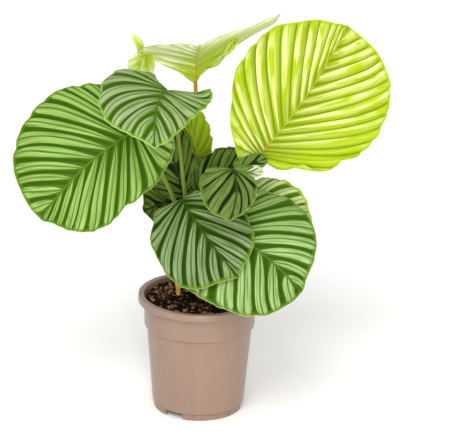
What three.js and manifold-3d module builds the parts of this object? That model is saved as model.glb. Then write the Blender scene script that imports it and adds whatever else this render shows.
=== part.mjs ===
// A round-leaved foliage plant in a plain nursery pot.
// The pot's axis is x = y = 0 while the plant is built, the viewer stands towards -Y and +Z is up.
// At the end the whole plant is moved so that the middle of its base box is the origin.

import * as THREE from 'three';
import { mergeVertices } from 'three/addons/utils/BufferGeometryUtils.js';
import Module from 'manifold-3d';

const wasm = await Module();
wasm.setup();

// Driving dimensions of the pot, in millimetres
const POT_HEIGHT = 164;
const RIM_RADIUS = 85;
const RIM_MOUTH_RADIUS = 77;
const LIP_DROP = 9;
const COLLAR_HEIGHT = 44;
const COLLAR_RADIUS = 76.8;
const COLLAR_STEP = 3.4;
const BASE_RADIUS = 63.2;
const FOOT_HEIGHT = 9;
const FOOT_RADIUS = 61;
const WALL = 1.5;
const FLOOR = 2.8;
const CORNER_ROUND = 0.8;
const COLLAR_SHOULDER = 1.2;
const FLOOR_ROUND = 3;
const FOOT_WALL = 2.2;
const POT_SIDES = 60;
const FOOT_NOTCHES = 3;
const FOOT_NOTCH_WIDTH = 27;
const FOOT_NOTCH_REACH = 14;
const FOOT_NOTCH_FIRST_ANGLE = -32;
const DRAIN_HOLES = 6;
const DRAIN_HOLE_RADIUS = 5;
const DRAIN_CIRCLE_RADIUS = 42;

// Driving dimensions of the soil and of the gaps between touching pieces
const SOIL_LEVEL = 151;
const SOIL_MOUND = { x: -48, y: 34, height: 8, spread: 30 };
const SEAT_GAP = 0.3;
const SOIL_RINGS = 7;
const SOIL_SIDES = 44;

// Driving dimensions that all leaves share
const BLADE_THICKNESS = 0.9;
const RIB_DEPTH = 1.5;
const RIB_HALF_WIDTH = 0.12;
const PLEAT_HEIGHT = 1.1;
const JOINT_CALM = 15;
const SINUS_ANGLE = 0.3;
const TIP_ANGLE = 0.16;
const STALK_SIDES = 8;
const STALK_FOOT_RADIUS = 3.4;
const STALK_TOP_RADIUS = 2.3;
const STALK_SHEATH = 0.8;
const STALK_ROOT_DEPTH = 22;
const STALK_HOLE_SIDES = 12;
const STALK_NECK_LENGTH = 20;
const SHEATH_PLACE = { at: 0.3, spread: 0.08 };
const NECK_SWELL = { at: 0.95, spread: 0.05, height: 0.5 };
const STALK_STEPS = 13;
const MIDRIB_STEPS = 64;
const LIFT_REACH = 0.35;
const BLADE_HEART = 0.45;
const VEIN_START = { first: 0.03, span: 0.9 };
const VEIN_BEND = { out: 0.86, along: 0.68 };

// What a leaf has when its own entry says nothing else.
// facing: azimuth and elevation that the upper side looks to, azimuth 0 being straight at the viewer.
// wide, lobe, skew, taper, fold and droop hold the left half's value, then the right half's, seen from
// above with the tip ahead: half width, length of the lobe behind the joint, how far forward the widest
// place lies, how slim the ends are, and how far the half rises at the midrib and bends down towards
// its edge. bow and lift bend the midrib up and down, and sweep bends it sideways, as a share of its
// length. bays are dents in the edge, ears are places where the edge is pushed up or down, and waves are
// ripples along it. opening is the notch behind the joint, as a share of the half turn that each edge
// makes round the blade, and crowding is how closely the side veins start at the joint. curls are parts
// of the margin that are still rolled or turned over, each a small blade that grows out of the large one.
const PLAIN_LEAF = {
  wide: [40, 40], lobe: [10, 10], skew: [0, 0], taper: [0.9, 0.9], point: 6, fold: [5, 5],
  droop: [20, 20], bow: 25, lift: 0, sweep: 0, bays: [], ears: [], waves: [], curls: [], bands: 7, rows: 4,
  opening: 0.12, crowding: 3.2, approach: [0.45, 0.9], sheath: STALK_SHEATH, young: false,
};

// What a curl of the margin has when its own entry says nothing else
const CURL = {
  lobe: [4, 4], taper: [0.7, 0.7], point: 0, fold: [0, 0], droop: [30, 30], bow: 40, bands: 3, rows: 2,
};

// The twelve leaves: place of the joint, place of the tip, the shape of the blade, and the points
// that the stalk passes on its way up from the soil
const LEAVES = [
  {
    name: 'left', joint: [-88, -30, 405], tip: [-209, -62, 293], facing: [-12, 28], bands: 10, rows: 6,
    wide: [86, 107], lobe: [50, 18], skew: [0.1, -0.07], taper: [1.14, 0.6], fold: [-7, 21], droop: [23, 34],
    sweep: 0.045,
    bays: [
      { side: -1, at: 0.44, depth: 0.12, spread: 0.12 },
      { side: 1, at: 0.22, depth: 0.04, spread: 0.05 },
    ],
    stalk: [[-6, 28, 158], [-20, 21, 230], [-41, 6, 304], [-54, -2, 335]],
  },
  {
    name: 'crown', joint: [-48, 0, 452], tip: [-60, -155, 425], facing: [0, 80], bands: 8, rows: 6,
    wide: [58, 78], lobe: [33, 73], skew: [-0.32, 0.35], taper: [1.06, 0.87], bow: 40, sweep: 0.033,
    fold: [-8, 29], droop: [21, 14],
    ears: [{ side: -1, at: 0.22, spread: 0.12, rise: 16, inward: 0 }],
    stalk: [[2, 14, 158], [-9, 10, 230], [-23, 9, 303], [-35, 8, 390]],
  },
  {
    name: 'top', joint: [-13, 92, 435], tip: [-6, -52, 528], facing: [-172, 60], bands: 8, rows: 6,
    wide: [125, 80], lobe: [-10, -10], skew: [-0.05, -0.05], taper: [3, 1.7], bow: 10, lift: 60,
    fold: [28, 12], droop: [10, 12], crowding: 1.6,
    ears: [{ side: -1, at: 0.11, spread: 0.05, rise: -8, inward: 0 }],
    curls: [
      { joint: [-74, 44, 494], tip: [-98, 70, 455], facing: [-15, 0], wide: [24, 24], skew: [0.35, 0.35],
        taper: [1.2, 1.2] },
      { joint: [-84, 36, 490], tip: [-99, 24, 518], facing: [25, 10], wide: [5, 12], skew: [0, -0.1] },
      { joint: [42, 62, 506], tip: [29, 60, 486], facing: [-20, 0], wide: [5, 7], skew: [0, 0.1] },
    ],
    approach: [0.95, 0.3], young: true,
    stalk: [[-2, 56, 158], [-5, 76, 260], [-8, 102, 360]],
  },
  {
    name: 'right', joint: [73, 0, 361], tip: [191, 72, 527], facing: [175, 10], bands: 10, rows: 6,
    wide: [111, 108], lobe: [-17, 38], skew: [0.01, 0.08], taper: [0.63, 1.76], point: 0, bow: 20,
    fold: [4, 0], droop: [18, 22], sweep: -0.045, opening: 0.04,
    bays: [
      { side: -1, at: 0.08, depth: 0.07, spread: 0.03 },
      { side: -1, at: 0.29, depth: 0.05, spread: 0.04 },
      { side: 1, at: 0.18, depth: 0.06, spread: 0.09 },
    ],
    waves: [{ height: 4, count: 5, phase: 0.2 }], approach: [0.9, 0.4], young: true,
    stalk: [[15, 28, 158], [25, 11, 250], [44, -2, 310]],
  },
  {
    name: 'front', joint: [-27, -28, 310], tip: [47, -98, 231], facing: [10, 35], bands: 8, rows: 6,
    wide: [63, 74], lobe: [6, 16], skew: [0.05, 0.2], taper: [1.25, 0.81], fold: [6, 8], droop: [18, 17],
    sweep: 0.039, ears: [{ side: 1, at: 0.23, spread: 0.06, rise: 8, inward: -4 }], sheath: 1.8,
    stalk: [[-30, 16, 158], [-33, 4, 200]],
  },
  {
    name: 'low_right', joint: [17, -32, 279], tip: [132, -80, 205], facing: [15, 24], bands: 9, rows: 6,
    wide: [83, 104], lobe: [22, 40], skew: [0.08, -0.08], taper: [1, 0.63], fold: [9, 17], droop: [15, 15],
    sweep: -0.033,
    stalk: [[10, 0, 158], [9, -16, 220]],
  },
  {
    name: 'small', joint: [40, -50, 361], tip: [39, -105, 311], facing: [-10, 45], bow: 30, sweep: -0.099,
    wide: [27, 49], lobe: [16, 5], skew: [0.01, -0.07], fold: [2, 10], droop: [15, 18],
    bays: [{ side: -1, at: 0.25, depth: 0.14, spread: 0.07 }],
    curls: [{ joint: [46, -45, 354], tip: [86, -36, 364], facing: [0, 40], wide: [17, 12], fold: [0, -35] }],
    stalk: [[18, 8, 158], [20, 1, 240], [24, -5, 300]],
  },
  {
    name: 'inner_right', joint: [-6, 17, 300], tip: [61, 30, 353], facing: [0, 25], bow: 30,
    wide: [36, 36], lobe: [4, 4],
    stalk: [[4, 34, 158], [3, 27, 230]],
  },
  {
    name: 'behind_right', joint: [52, 16, 290], tip: [143, -8, 277], facing: [10, 30],
    wide: [46, 40],
    stalk: [[24, 18, 158], [34, 22, 230]],
  },
  {
    name: 'behind_left', joint: [-28, 52, 286], tip: [-76, 48, 267], facing: [-20, 15], bow: 15,
    wide: [44, 50], lobe: [6, 6], droop: [10, 10],
    stalk: [[-20, 52, 158], [-24, 64, 230]],
  },
  {
    name: 'inner_left', joint: [-24, 34, 292], tip: [-56, 54, 397], facing: [-8, 5], bow: 15,
    wide: [44, 30], lobe: [6, 2], skew: [0, -0.06],
    stalk: [[-10, 40, 158], [-19, 46, 230]],
  },
  {
    name: 'under_crown', joint: [-6, 62, 336], tip: [-29, 66, 414], facing: [180, 5], bow: 15,
    wide: [26, 18], lobe: [8, 8], droop: [10, 10], approach: [0.97, 0.2], young: true,
    stalk: [[8, 46, 158], [10, 66, 250]],
  },
];

const materials = {
  pot: () => new THREE.MeshStandardMaterial({ color: '#b59a88', roughness: 0.42, metalness: 0 }),
  soil: () => new THREE.MeshStandardMaterial({ color: '#4a3826', roughness: 0.95, metalness: 0 }),
  grownBlade: () => new THREE.MeshStandardMaterial({ color: '#6f933b', roughness: 0.45, metalness: 0 }),
  youngBlade: () => new THREE.MeshStandardMaterial({ color: '#bfd92e', roughness: 0.4, metalness: 0 }),
  stalk: () => new THREE.MeshStandardMaterial({ color: '#7c8a2c', roughness: 0.5, metalness: 0 }),
};

// Turns a closed three.js geometry into a solid that can be cut
function toSolid(geometry) {
  const bare = geometry.index ? geometry.toNonIndexed() : geometry.clone();
  bare.deleteAttribute('normal');
  bare.deleteAttribute('uv');
  const merged = mergeVertices(bare, 1e-4);
  return new wasm.Manifold(new wasm.Mesh({
    numProp: 3,
    vertProperties: new Float32Array(merged.attributes.position.array),
    triVerts: new Uint32Array(merged.index.array),
  }));
}

// Turns a cut solid back into a three.js geometry
function toGeometry(solid) {
  const { vertProperties, triVerts, numProp } = solid.getMesh();
  const geometry = new THREE.BufferGeometry();
  const positions = new Float32Array((vertProperties.length / numProp) * 3);
  for (let i = 0; i < positions.length / 3; i += 1) {
    positions.set(vertProperties.subarray(i * numProp, i * numProp + 3), i * 3);
  }
  geometry.setAttribute('position', new THREE.BufferAttribute(positions, 3));
  geometry.setIndex(new THREE.BufferAttribute(new Uint32Array(triVerts), 1));
  geometry.computeVertexNormals();
  return geometry;
}

// The largest shell of a solid, so that pockets sealed between grown-together sheets are filled
function outerShell(solid) {
  return solid.decompose().reduce((a, b) => (a.volume() > b.volume() ? a : b));
}

// Builds a geometry from a list of points and a list of triangles
function fromTriangles(points, triangles) {
  const geometry = new THREE.BufferGeometry();
  geometry.setAttribute('position', new THREE.Float32BufferAttribute(points.flatMap((p) => p.toArray()), 3));
  geometry.setIndex(triangles.flat());
  geometry.computeVertexNormals();
  return geometry;
}

function upright(geometry) {
  return geometry.rotateX(Math.PI / 2);
}

// Height z and outer radius of the pot's slanted body below the collar
function bodyRadius(z) {
  const collarFoot = POT_HEIGHT - COLLAR_HEIGHT;
  const top = COLLAR_RADIUS - COLLAR_STEP - COLLAR_SHOULDER;
  return THREE.MathUtils.mapLinear(z, FOOT_HEIGHT, collarFoot, BASE_RADIUS, top);
}

// The pot's wall as one outline: floor, inside, lip, collar, body, foot ring and underside
function potOutline() {
  const collarFoot = POT_HEIGHT - COLLAR_HEIGHT;
  const floorTop = FOOT_HEIGHT + FLOOR;
  const lipFoot = POT_HEIGHT - LIP_DROP;
  const lipUnder = POT_HEIGHT - WALL - 0.3;
  const outline = [
    [0, floorTop],
    [bodyRadius(floorTop) - WALL - FLOOR_ROUND, floorTop],
    [bodyRadius(floorTop + FLOOR_ROUND) - WALL, floorTop + FLOOR_ROUND],
    [bodyRadius(collarFoot) - WALL, collarFoot + 1],
    [COLLAR_RADIUS - WALL - COLLAR_SHOULDER, collarFoot + 3],
    [COLLAR_RADIUS - WALL, lipFoot],
    [RIM_MOUTH_RADIUS - CORNER_ROUND, POT_HEIGHT - WALL],
    [RIM_MOUTH_RADIUS, POT_HEIGHT - CORNER_ROUND / 2],
    [RIM_MOUTH_RADIUS + CORNER_ROUND, POT_HEIGHT],
    [RIM_RADIUS - 2 * CORNER_ROUND, POT_HEIGHT],
    [RIM_RADIUS - CORNER_ROUND, POT_HEIGHT - CORNER_ROUND],
    [RIM_RADIUS, lipFoot],
    [RIM_RADIUS - WALL, lipFoot],
    [RIM_RADIUS - WALL - CORNER_ROUND, lipUnder],
    [COLLAR_RADIUS + CORNER_ROUND, lipUnder],
    [COLLAR_RADIUS, lipFoot],
    [COLLAR_RADIUS - COLLAR_SHOULDER, collarFoot + 1],
    [COLLAR_RADIUS - COLLAR_SHOULDER - 1, collarFoot],
    [bodyRadius(collarFoot), collarFoot - CORNER_ROUND],
    [BASE_RADIUS, FOOT_HEIGHT + CORNER_ROUND],
    [BASE_RADIUS - CORNER_ROUND, FOOT_HEIGHT],
    [FOOT_RADIUS + 0.3, FOOT_HEIGHT],
    [FOOT_RADIUS, CORNER_ROUND],
    [FOOT_RADIUS - CORNER_ROUND, 0],
    [FOOT_RADIUS - FOOT_WALL, 0],
    [FOOT_RADIUS - FOOT_WALL, FOOT_HEIGHT],
    [0, FOOT_HEIGHT],
  ];
  return outline.map(([r, z]) => new THREE.Vector2(r, z));
}

// Gaps cut through the foot ring that let water out from under the pot
function footNotch(index) {
  const angle = THREE.MathUtils.degToRad(FOOT_NOTCH_FIRST_ANGLE + (index * 360) / FOOT_NOTCHES);
  const notch = new THREE.BoxGeometry(FOOT_NOTCH_WIDTH, FOOT_NOTCH_REACH, FOOT_HEIGHT + 1);
  notch.translate(0, -FOOT_RADIUS, FOOT_HEIGHT / 2 - 0.5);
  return notch.rotateZ(angle);
}

function drainHole(index) {
  const angle = ((index + 0.5) * 2 * Math.PI) / DRAIN_HOLES;
  const hole = upright(new THREE.CylinderGeometry(DRAIN_HOLE_RADIUS, DRAIN_HOLE_RADIUS, FLOOR + 4, 16));
  const x = DRAIN_CIRCLE_RADIUS * Math.cos(angle);
  const y = DRAIN_CIRCLE_RADIUS * Math.sin(angle);
  return hole.translate(x, y, FOOT_HEIGHT + FLOOR / 2);
}

function potGeometry() {
  const outline = potOutline().reverse();
  let pot = toSolid(upright(new THREE.LatheGeometry(outline, POT_SIDES)));
  for (let i = 0; i < FOOT_NOTCHES; i += 1) {
    pot = pot.subtract(toSolid(footNotch(i)));
  }
  for (let i = 0; i < DRAIN_HOLES; i += 1) {
    pot = pot.subtract(toSolid(drainHole(i)));
  }
  return toGeometry(pot);
}

// Height of the soil's loose, uneven top: lumps, and a mound against the wall at the back left
function soilTop(x, y) {
  const lumps = 1.2 * Math.sin(x / 9) * Math.cos(y / 7) + 0.8 * Math.sin((x + 2 * y) / 11 + 1);
  const away = Math.hypot(x - SOIL_MOUND.x, y - SOIL_MOUND.y) / SOIL_MOUND.spread;
  const mound = SOIL_MOUND.height * Math.exp(-(away ** 2));
  return SOIL_LEVEL + lumps + mound;
}

// The soil fills the pot: a bumpy disc on top, the pot's inside as its side, and a flat underside
function soilGeometry() {
  const collarFoot = POT_HEIGHT - COLLAR_HEIGHT;
  const floorTop = FOOT_HEIGHT + FLOOR + SEAT_GAP;
  const topRadius = COLLAR_RADIUS - WALL - 1 - SEAT_GAP;
  const side = [
    [COLLAR_RADIUS - WALL - 1.8 - SEAT_GAP, collarFoot + 3.6],
    [bodyRadius(collarFoot) - WALL - SEAT_GAP - 0.2, collarFoot + 1],
    [bodyRadius(floorTop + FLOOR_ROUND) - WALL - SEAT_GAP - 0.2, floorTop + FLOOR_ROUND],
    [bodyRadius(floorTop) - WALL - FLOOR_ROUND - SEAT_GAP, floorTop],
  ];
  const points = [new THREE.Vector3(0, 0, soilTop(0, 0))];
  const triangles = [];
  const ringPoint = (ring, k) => 1 + ring * SOIL_SIDES + (k % SOIL_SIDES);
  for (let ring = 1; ring <= SOIL_RINGS; ring += 1) {
    const radius = (topRadius * ring) / SOIL_RINGS;
    for (let k = 0; k < SOIL_SIDES; k += 1) {
      const angle = (2 * Math.PI * k) / SOIL_SIDES;
      const x = radius * Math.cos(angle);
      const y = radius * Math.sin(angle);
      points.push(new THREE.Vector3(x, y, soilTop(x, y)));
    }
  }
  for (const [radius, z] of side) {
    for (let k = 0; k < SOIL_SIDES; k += 1) {
      const angle = (2 * Math.PI * k) / SOIL_SIDES;
      points.push(new THREE.Vector3(radius * Math.cos(angle), radius * Math.sin(angle), z));
    }
  }
  const lastRing = SOIL_RINGS + side.length - 1;
  const underside = points.length;
  points.push(new THREE.Vector3(0, 0, floorTop));
  for (let k = 0; k < SOIL_SIDES; k += 1) {
    triangles.push([0, ringPoint(0, k), ringPoint(0, k + 1)]);
    triangles.push([underside, ringPoint(lastRing, k + 1), ringPoint(lastRing, k)]);
    for (let ring = 0; ring < lastRing; ring += 1) {
      triangles.push([ringPoint(ring, k), ringPoint(ring + 1, k), ringPoint(ring + 1, k + 1)]);
      triangles.push([ringPoint(ring, k), ringPoint(ring + 1, k + 1), ringPoint(ring, k + 1)]);
    }
  }
  let soil = toSolid(fromTriangles(points, triangles));
  for (const leaf of LEAVES) {
    soil = soil.subtract(toSolid(stalkHole(leaf.stalk[0])));
  }
  return toGeometry(soil);
}

// A plain round hole in the soil for one stalk, cut from above the soil down to below the stalk's foot
function stalkHole([x, y, z]) {
  const radius = (STALK_FOOT_RADIUS + SEAT_GAP) / Math.cos(Math.PI / STALK_HOLE_SIDES);
  const bottom = z - STALK_ROOT_DEPTH - SEAT_GAP;
  const height = POT_HEIGHT + SOIL_MOUND.height - bottom;
  const hole = upright(new THREE.CylinderGeometry(radius, radius, height, STALK_HOLE_SIDES));
  return hole.translate(x, y, bottom + height / 2);
}

// A smooth bump of height 1 around one place
function bump(value, { at, spread }) {
  return Math.exp(-(((value - at) / spread) ** 2));
}

// Unit vector that a blade's upper side faces
function facingVector([azimuth, elevation]) {
  const a = THREE.MathUtils.degToRad(azimuth);
  const e = THREE.MathUtils.degToRad(elevation);
  return new THREE.Vector3(Math.sin(a) * Math.cos(e), -Math.cos(a) * Math.cos(e), Math.sin(e));
}

// The bent midrib of a leaf: its plane, its length, and its course as tables over the length
function midribOf(leaf) {
  const joint = new THREE.Vector3(...leaf.joint);
  const chord = new THREE.Vector3(...leaf.tip).sub(joint);
  const forward = chord.clone().normalize();
  const up = facingVector(leaf.facing);
  up.addScaledVector(forward, -up.dot(forward)).normalize();
  const right = new THREE.Vector3().crossVectors(forward, up);
  const bow = THREE.MathUtils.degToRad(leaf.bow);
  const lift = THREE.MathUtils.degToRad(leaf.lift);
  const slopeAt = (u) => bow * (0.5 - u) + lift * Math.max(1 - u / LIFT_REACH, 0) ** 2;
  const ahead = [0];
  const above = [0];
  for (let k = 0; k < MIDRIB_STEPS; k += 1) {
    const slope = (slopeAt(k / MIDRIB_STEPS) + slopeAt((k + 1) / MIDRIB_STEPS)) / 2;
    ahead.push(ahead[k] + Math.cos(slope) / MIDRIB_STEPS);
    above.push(above[k] + Math.sin(slope) / MIDRIB_STEPS);
  }
  const turn = Math.atan2(above[MIDRIB_STEPS], ahead[MIDRIB_STEPS]);
  const length = chord.length() / Math.hypot(ahead[MIDRIB_STEPS], above[MIDRIB_STEPS]);
  // Place on the midrib at a distance from the joint; it runs on straight past both ends
  const at = (distance) => {
    const u = THREE.MathUtils.clamp(distance / length, 0, 1);
    const k = Math.min(Math.floor(u * MIDRIB_STEPS), MIDRIB_STEPS - 1);
    const part = u * MIDRIB_STEPS - k;
    const a = THREE.MathUtils.lerp(ahead[k], ahead[k + 1], part);
    const b = THREE.MathUtils.lerp(above[k], above[k + 1], part);
    const slope = slopeAt(u) - turn;
    const past = distance - u * length;
    return {
      ahead: (a * Math.cos(turn) + b * Math.sin(turn)) * length + past * Math.cos(slope),
      above: (b * Math.cos(turn) - a * Math.sin(turn)) * length + past * Math.sin(slope),
      slope,
    };
  };
  // How far the midrib lies to the right of its straight line at a distance from the joint
  const aside = (distance) => leaf.sweep * 4 * distance * (1 - distance / length);
  return { joint, forward, up, right, length, at, aside };
}

// Flat outline of one half of a blade: q runs along the edge from 0 at the joint to 1 at the tip
function edgeOf(leaf, length, q, side) {
  const half = side < 0 ? 0 : 1;
  const lobe = leaf.lobe[half];
  const phi = Math.PI * (leaf.opening + (1 - leaf.opening) * q);
  let out = leaf.wide[half] * Math.max(Math.sin(phi), 0) ** leaf.taper[half];
  let along = (length - lobe) / 2 - ((length + lobe) / 2) * Math.cos(phi);
  along += lobe * Math.exp(-((phi / SINUS_ANGLE) ** 2));
  along += leaf.point * Math.exp(-(((Math.PI - phi) / TIP_ANGLE) ** 2));
  along += leaf.skew[half] * length * Math.sin(phi) ** 2;
  for (const bay of leaf.bays.filter((b) => b.side === side)) {
    const pull = 1 - bay.depth * bump(q, bay);
    out *= pull;
    along = (along - length * BLADE_HEART) * pull + length * BLADE_HEART;
  }
  return { out, along };
}

// A point of the blade's middle surface: t runs along a side vein from 0 at the midrib to 1 at the edge
function bladePoint(leaf, midrib, q, t, side) {
  const half = side < 0 ? 0 : 1;
  const edge = edgeOf(leaf, midrib.length, q, side);
  const start = midrib.length * (VEIN_START.first * q + VEIN_START.span * q ** leaf.crowding);
  const reach = edge.along - start;
  const bendOut = VEIN_BEND.out * edge.out;
  const bendAlong = start + VEIN_BEND.along * reach;
  const out = 2 * t * (1 - t) * bendOut + t * t * edge.out;
  const along = (1 - t) ** 2 * start + 2 * t * (1 - t) * bendAlong + t * t * edge.along;

  const fold = THREE.MathUtils.degToRad(leaf.fold[half]);
  const rate = THREE.MathUtils.degToRad(leaf.droop[half]) / leaf.wide[half];
  const tilt = fold - rate * out;
  let lift = -PLEAT_HEIGHT * Math.cos(2 * Math.PI * leaf.bands * q) * (4 * t * (1 - t)) ** 0.7;
  let pull = 0;
  for (const wave of leaf.waves) {
    lift += wave.height * Math.sin(2 * Math.PI * (wave.count * q + wave.phase)) * t ** 2.2;
  }
  for (const ear of leaf.ears.filter((e) => e.side === side)) {
    const share = bump(q, ear) * t ** 3;
    lift += ear.rise * share;
    pull += ear.inward * share;
  }
  const sideways = (Math.sin(fold) - Math.sin(tilt)) / rate - Math.sin(tilt) * lift - pull;
  const upwards = (Math.cos(tilt) - Math.cos(fold)) / rate + Math.cos(tilt) * lift;

  const place = midrib.at(along);
  return midrib.joint.clone()
    .addScaledVector(midrib.forward, place.ahead - Math.sin(place.slope) * upwards)
    .addScaledVector(midrib.up, place.above + Math.cos(place.slope) * upwards)
    .addScaledVector(midrib.right, side * sideways + midrib.aside(along));
}

// Depth of the midrib that stands out under the blade, strongest at the joint
function ribDepth(q, t) {
  return RIB_DEPTH * (1 - 0.8 * q) * Math.exp(-((t / RIB_HALF_WIDTH) ** 2));
}

// A blade with the curls of its margin grown onto it
function curledBladeGeometry(leaf) {
  let blade = toSolid(bladeGeometry(leaf));
  for (const curl of leaf.curls) {
    blade = blade.add(toSolid(bladeGeometry({ ...PLAIN_LEAF, ...CURL, ...curl })));
  }
  return toGeometry(outerShell(blade));
}

// A pleated, thin and closed blade: a middle surface of side veins, moved up and down by half its
// thickness, with the same diagonals on both faces
function bladeGeometry(leaf) {
  const midrib = midribOf(leaf);
  const columns = 2 * leaf.bands;
  const { rows } = leaf;
  const stride = 2 * rows + 1;
  const idOf = (i, j) => (i < columns ? i * stride + j + rows : columns * stride + Math.abs(j));
  const middle = [];
  const depths = [];
  for (let i = 0; i <= columns; i += 1) {
    for (let j = -rows; j <= rows; j += 1) {
      const q = i / columns;
      const t = Math.abs(j) / rows;
      middle[idOf(i, j)] = bladePoint(leaf, midrib, q, t, j < 0 ? -1 : 1);
      depths[idOf(i, j)] = ribDepth(q, t);
    }
  }
  const faces = [];
  for (let i = 0; i < columns; i += 1) {
    for (let j = -rows; j < rows; j += 1) {
      const [a, b, c, d] = [idOf(i, j), idOf(i, j + 1), idOf(i + 1, j + 1), idOf(i + 1, j)];
      faces.push(...(j < 0 ? [[a, b, d], [b, c, d]] : [[a, b, c], [a, c, d]]));
    }
  }
  const normals = calmAtJoint(pointNormals(middle, faces), middle, midrib);
  const points = [];
  for (let k = 0; k < middle.length; k += 1) {
    points[k] = middle[k].clone().addScaledVector(normals[k], BLADE_THICKNESS / 2);
    points[middle.length + k] = middle[k].clone()
      .addScaledVector(normals[k], -BLADE_THICKNESS / 2 - depths[k]);
  }
  const under = (k) => middle.length + k;
  const triangles = faces.flatMap(([a, b, c]) => [[a, b, c], [under(c), under(b), under(a)]]);
  for (const [a, b] of borderOf(faces)) {
    triangles.push([under(a), under(b), b], [under(a), b, a]);
  }
  return fromTriangles(points, triangles);
}

// Turns the directions near the joint to the midrib's own, so that the crowded folds there keep apart
function calmAtJoint(normals, middle, midrib) {
  const { slope } = midrib.at(0);
  const upward = midrib.up.clone().multiplyScalar(Math.cos(slope))
    .addScaledVector(midrib.forward, -Math.sin(slope));
  return normals.map((normal, k) => {
    const near = Math.exp(-((middle[k].distanceTo(midrib.joint) / JOINT_CALM) ** 2));
    return normal.lerp(upward, near).normalize();
  });
}

// Mean direction of the faces around each point
function pointNormals(points, faces) {
  const normals = points.map(() => new THREE.Vector3());
  for (const [a, b, c] of faces) {
    const ab = points[b].clone().sub(points[a]);
    const ac = points[c].clone().sub(points[a]);
    const cross = ab.cross(ac);
    for (const k of [a, b, c]) {
      normals[k].add(cross);
    }
  }
  return normals.map((n) => n.normalize());
}

// Edges that only one face uses, in that face's order
function borderOf(faces) {
  const edges = faces.flatMap(([a, b, c]) => [[a, b], [b, c], [c, a]]);
  const known = new Set(edges.map(([a, b]) => `${a} ${b}`));
  return edges.filter(([a, b]) => !known.has(`${b} ${a}`));
}

// Points along a stalk: down in the soil, up through its own points, and under the blade's joint
function stalkCourse(leaf) {
  const midrib = midribOf(leaf);
  const { slope } = midrib.at(0);
  const forward = midrib.forward.clone().multiplyScalar(Math.cos(slope))
    .addScaledVector(midrib.up, Math.sin(slope));
  const up = midrib.up.clone().multiplyScalar(Math.cos(slope))
    .addScaledVector(midrib.forward, -Math.sin(slope));
  const under = BLADE_THICKNESS / 2 + RIB_DEPTH + SEAT_GAP;
  const end = midrib.joint.clone().addScaledVector(forward, STALK_TOP_RADIUS).addScaledVector(up, -under);
  const [ahead, above] = leaf.approach;
  const approach = forward.clone().multiplyScalar(ahead).addScaledVector(up, above).normalize();
  const points = leaf.stalk.map((p) => new THREE.Vector3(...p));
  const root = points[0].clone().setZ(points[0].z - STALK_ROOT_DEPTH);
  const mouth = points[0].clone().setZ(points[0].z - STALK_ROOT_DEPTH / 3);
  const neck = end.clone().addScaledVector(approach, -STALK_NECK_LENGTH);
  return { points: [root, mouth, ...points, neck, end], up };
}

// A tapering stalk with a sheath near the soil, a thicker neck, and a top cut along the blade's underside
function stalkGeometry(leaf) {
  const { points: course, up } = stalkCourse(leaf);
  const curve = new THREE.CatmullRomCurve3(course, false, 'centripetal');
  const points = [];
  const triangles = [];
  const ringPoint = (ring, k) => ring * STALK_SIDES + (k % STALK_SIDES);
  const across = new THREE.Vector3(1, 0, 0);
  for (let step = 0; step <= STALK_STEPS; step += 1) {
    const u = step / STALK_STEPS;
    const direction = step === STALK_STEPS ? up : curve.getTangentAt(u);
    across.addScaledVector(direction, -across.dot(direction)).normalize();
    const other = new THREE.Vector3().crossVectors(direction, across);
    const sheath = leaf.sheath * bump(u, SHEATH_PLACE);
    const neck = NECK_SWELL.height * bump(u, NECK_SWELL);
    const radius = THREE.MathUtils.lerp(STALK_FOOT_RADIUS, STALK_TOP_RADIUS, u) + sheath + neck;
    const centre = curve.getPointAt(u);
    for (let k = 0; k < STALK_SIDES; k += 1) {
      const angle = (2 * Math.PI * k) / STALK_SIDES;
      points.push(centre.clone()
        .addScaledVector(across, radius * Math.cos(angle))
        .addScaledVector(other, radius * Math.sin(angle)));
    }
  }
  for (let k = 0; k < STALK_SIDES; k += 1) {
    for (let ring = 0; ring < STALK_STEPS; ring += 1) {
      triangles.push([ringPoint(ring, k), ringPoint(ring, k + 1), ringPoint(ring + 1, k + 1)]);
      triangles.push([ringPoint(ring, k), ringPoint(ring + 1, k + 1), ringPoint(ring + 1, k)]);
    }
  }
  for (let k = 1; k < STALK_SIDES - 1; k += 1) {
    triangles.push([ringPoint(0, 0), ringPoint(0, k + 1), ringPoint(0, k)]);
    triangles.push([ringPoint(STALK_STEPS, 0), ringPoint(STALK_STEPS, k), ringPoint(STALK_STEPS, k + 1)]);
  }
  return fromTriangles(points, triangles);
}

function named(name, geometry, material) {
  const mesh = new THREE.Mesh(geometry, material);
  mesh.name = name;
  return mesh;
}

function leafGroup(entry) {
  const leaf = { ...PLAIN_LEAF, ...entry };
  const group = new THREE.Group();
  const bladeMaterial = leaf.young ? materials.youngBlade() : materials.grownBlade();
  const blade = leaf.curls.length > 0 ? curledBladeGeometry(leaf) : bladeGeometry(leaf);
  group.add(named(`blade_${leaf.name}`, blade, bladeMaterial));
  group.add(named(`stalk_${leaf.name}`, stalkGeometry(leaf), materials.stalk()));
  return group;
}

const plant = new THREE.Group();
plant.add(named('pot', potGeometry(), materials.pot()));
plant.add(named('soil', soilGeometry(), materials.soil()));
for (const leaf of LEAVES) {
  plant.add(leafGroup(leaf));
}

// Moves the plant so that the middle of its base box is the origin
const box = new THREE.Box3().setFromObject(plant, true);
const middle = box.getCenter(new THREE.Vector3());
plant.position.set(-middle.x, -middle.y, -box.min.z);
plant.updateMatrixWorld(true);

export default plant;
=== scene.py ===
# %% [markdown]
# A round-leaved foliage plant in a plain nursery pot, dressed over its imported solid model.
# The solids give every size and place. What they lack is what the eye looks for on this plant: the silvery
# bands between dark veins, the satin sheen on the pleats, the yellow-green light in the young leaves, the
# crumbly peat, and the soft gloss of a moulded pot. Each of these is built here as its own step.

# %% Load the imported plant
import math
import random
from functools import partial
from itertools import combinations

import bpy
import numpy as np
from mathutils import Matrix, Vector


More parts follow.
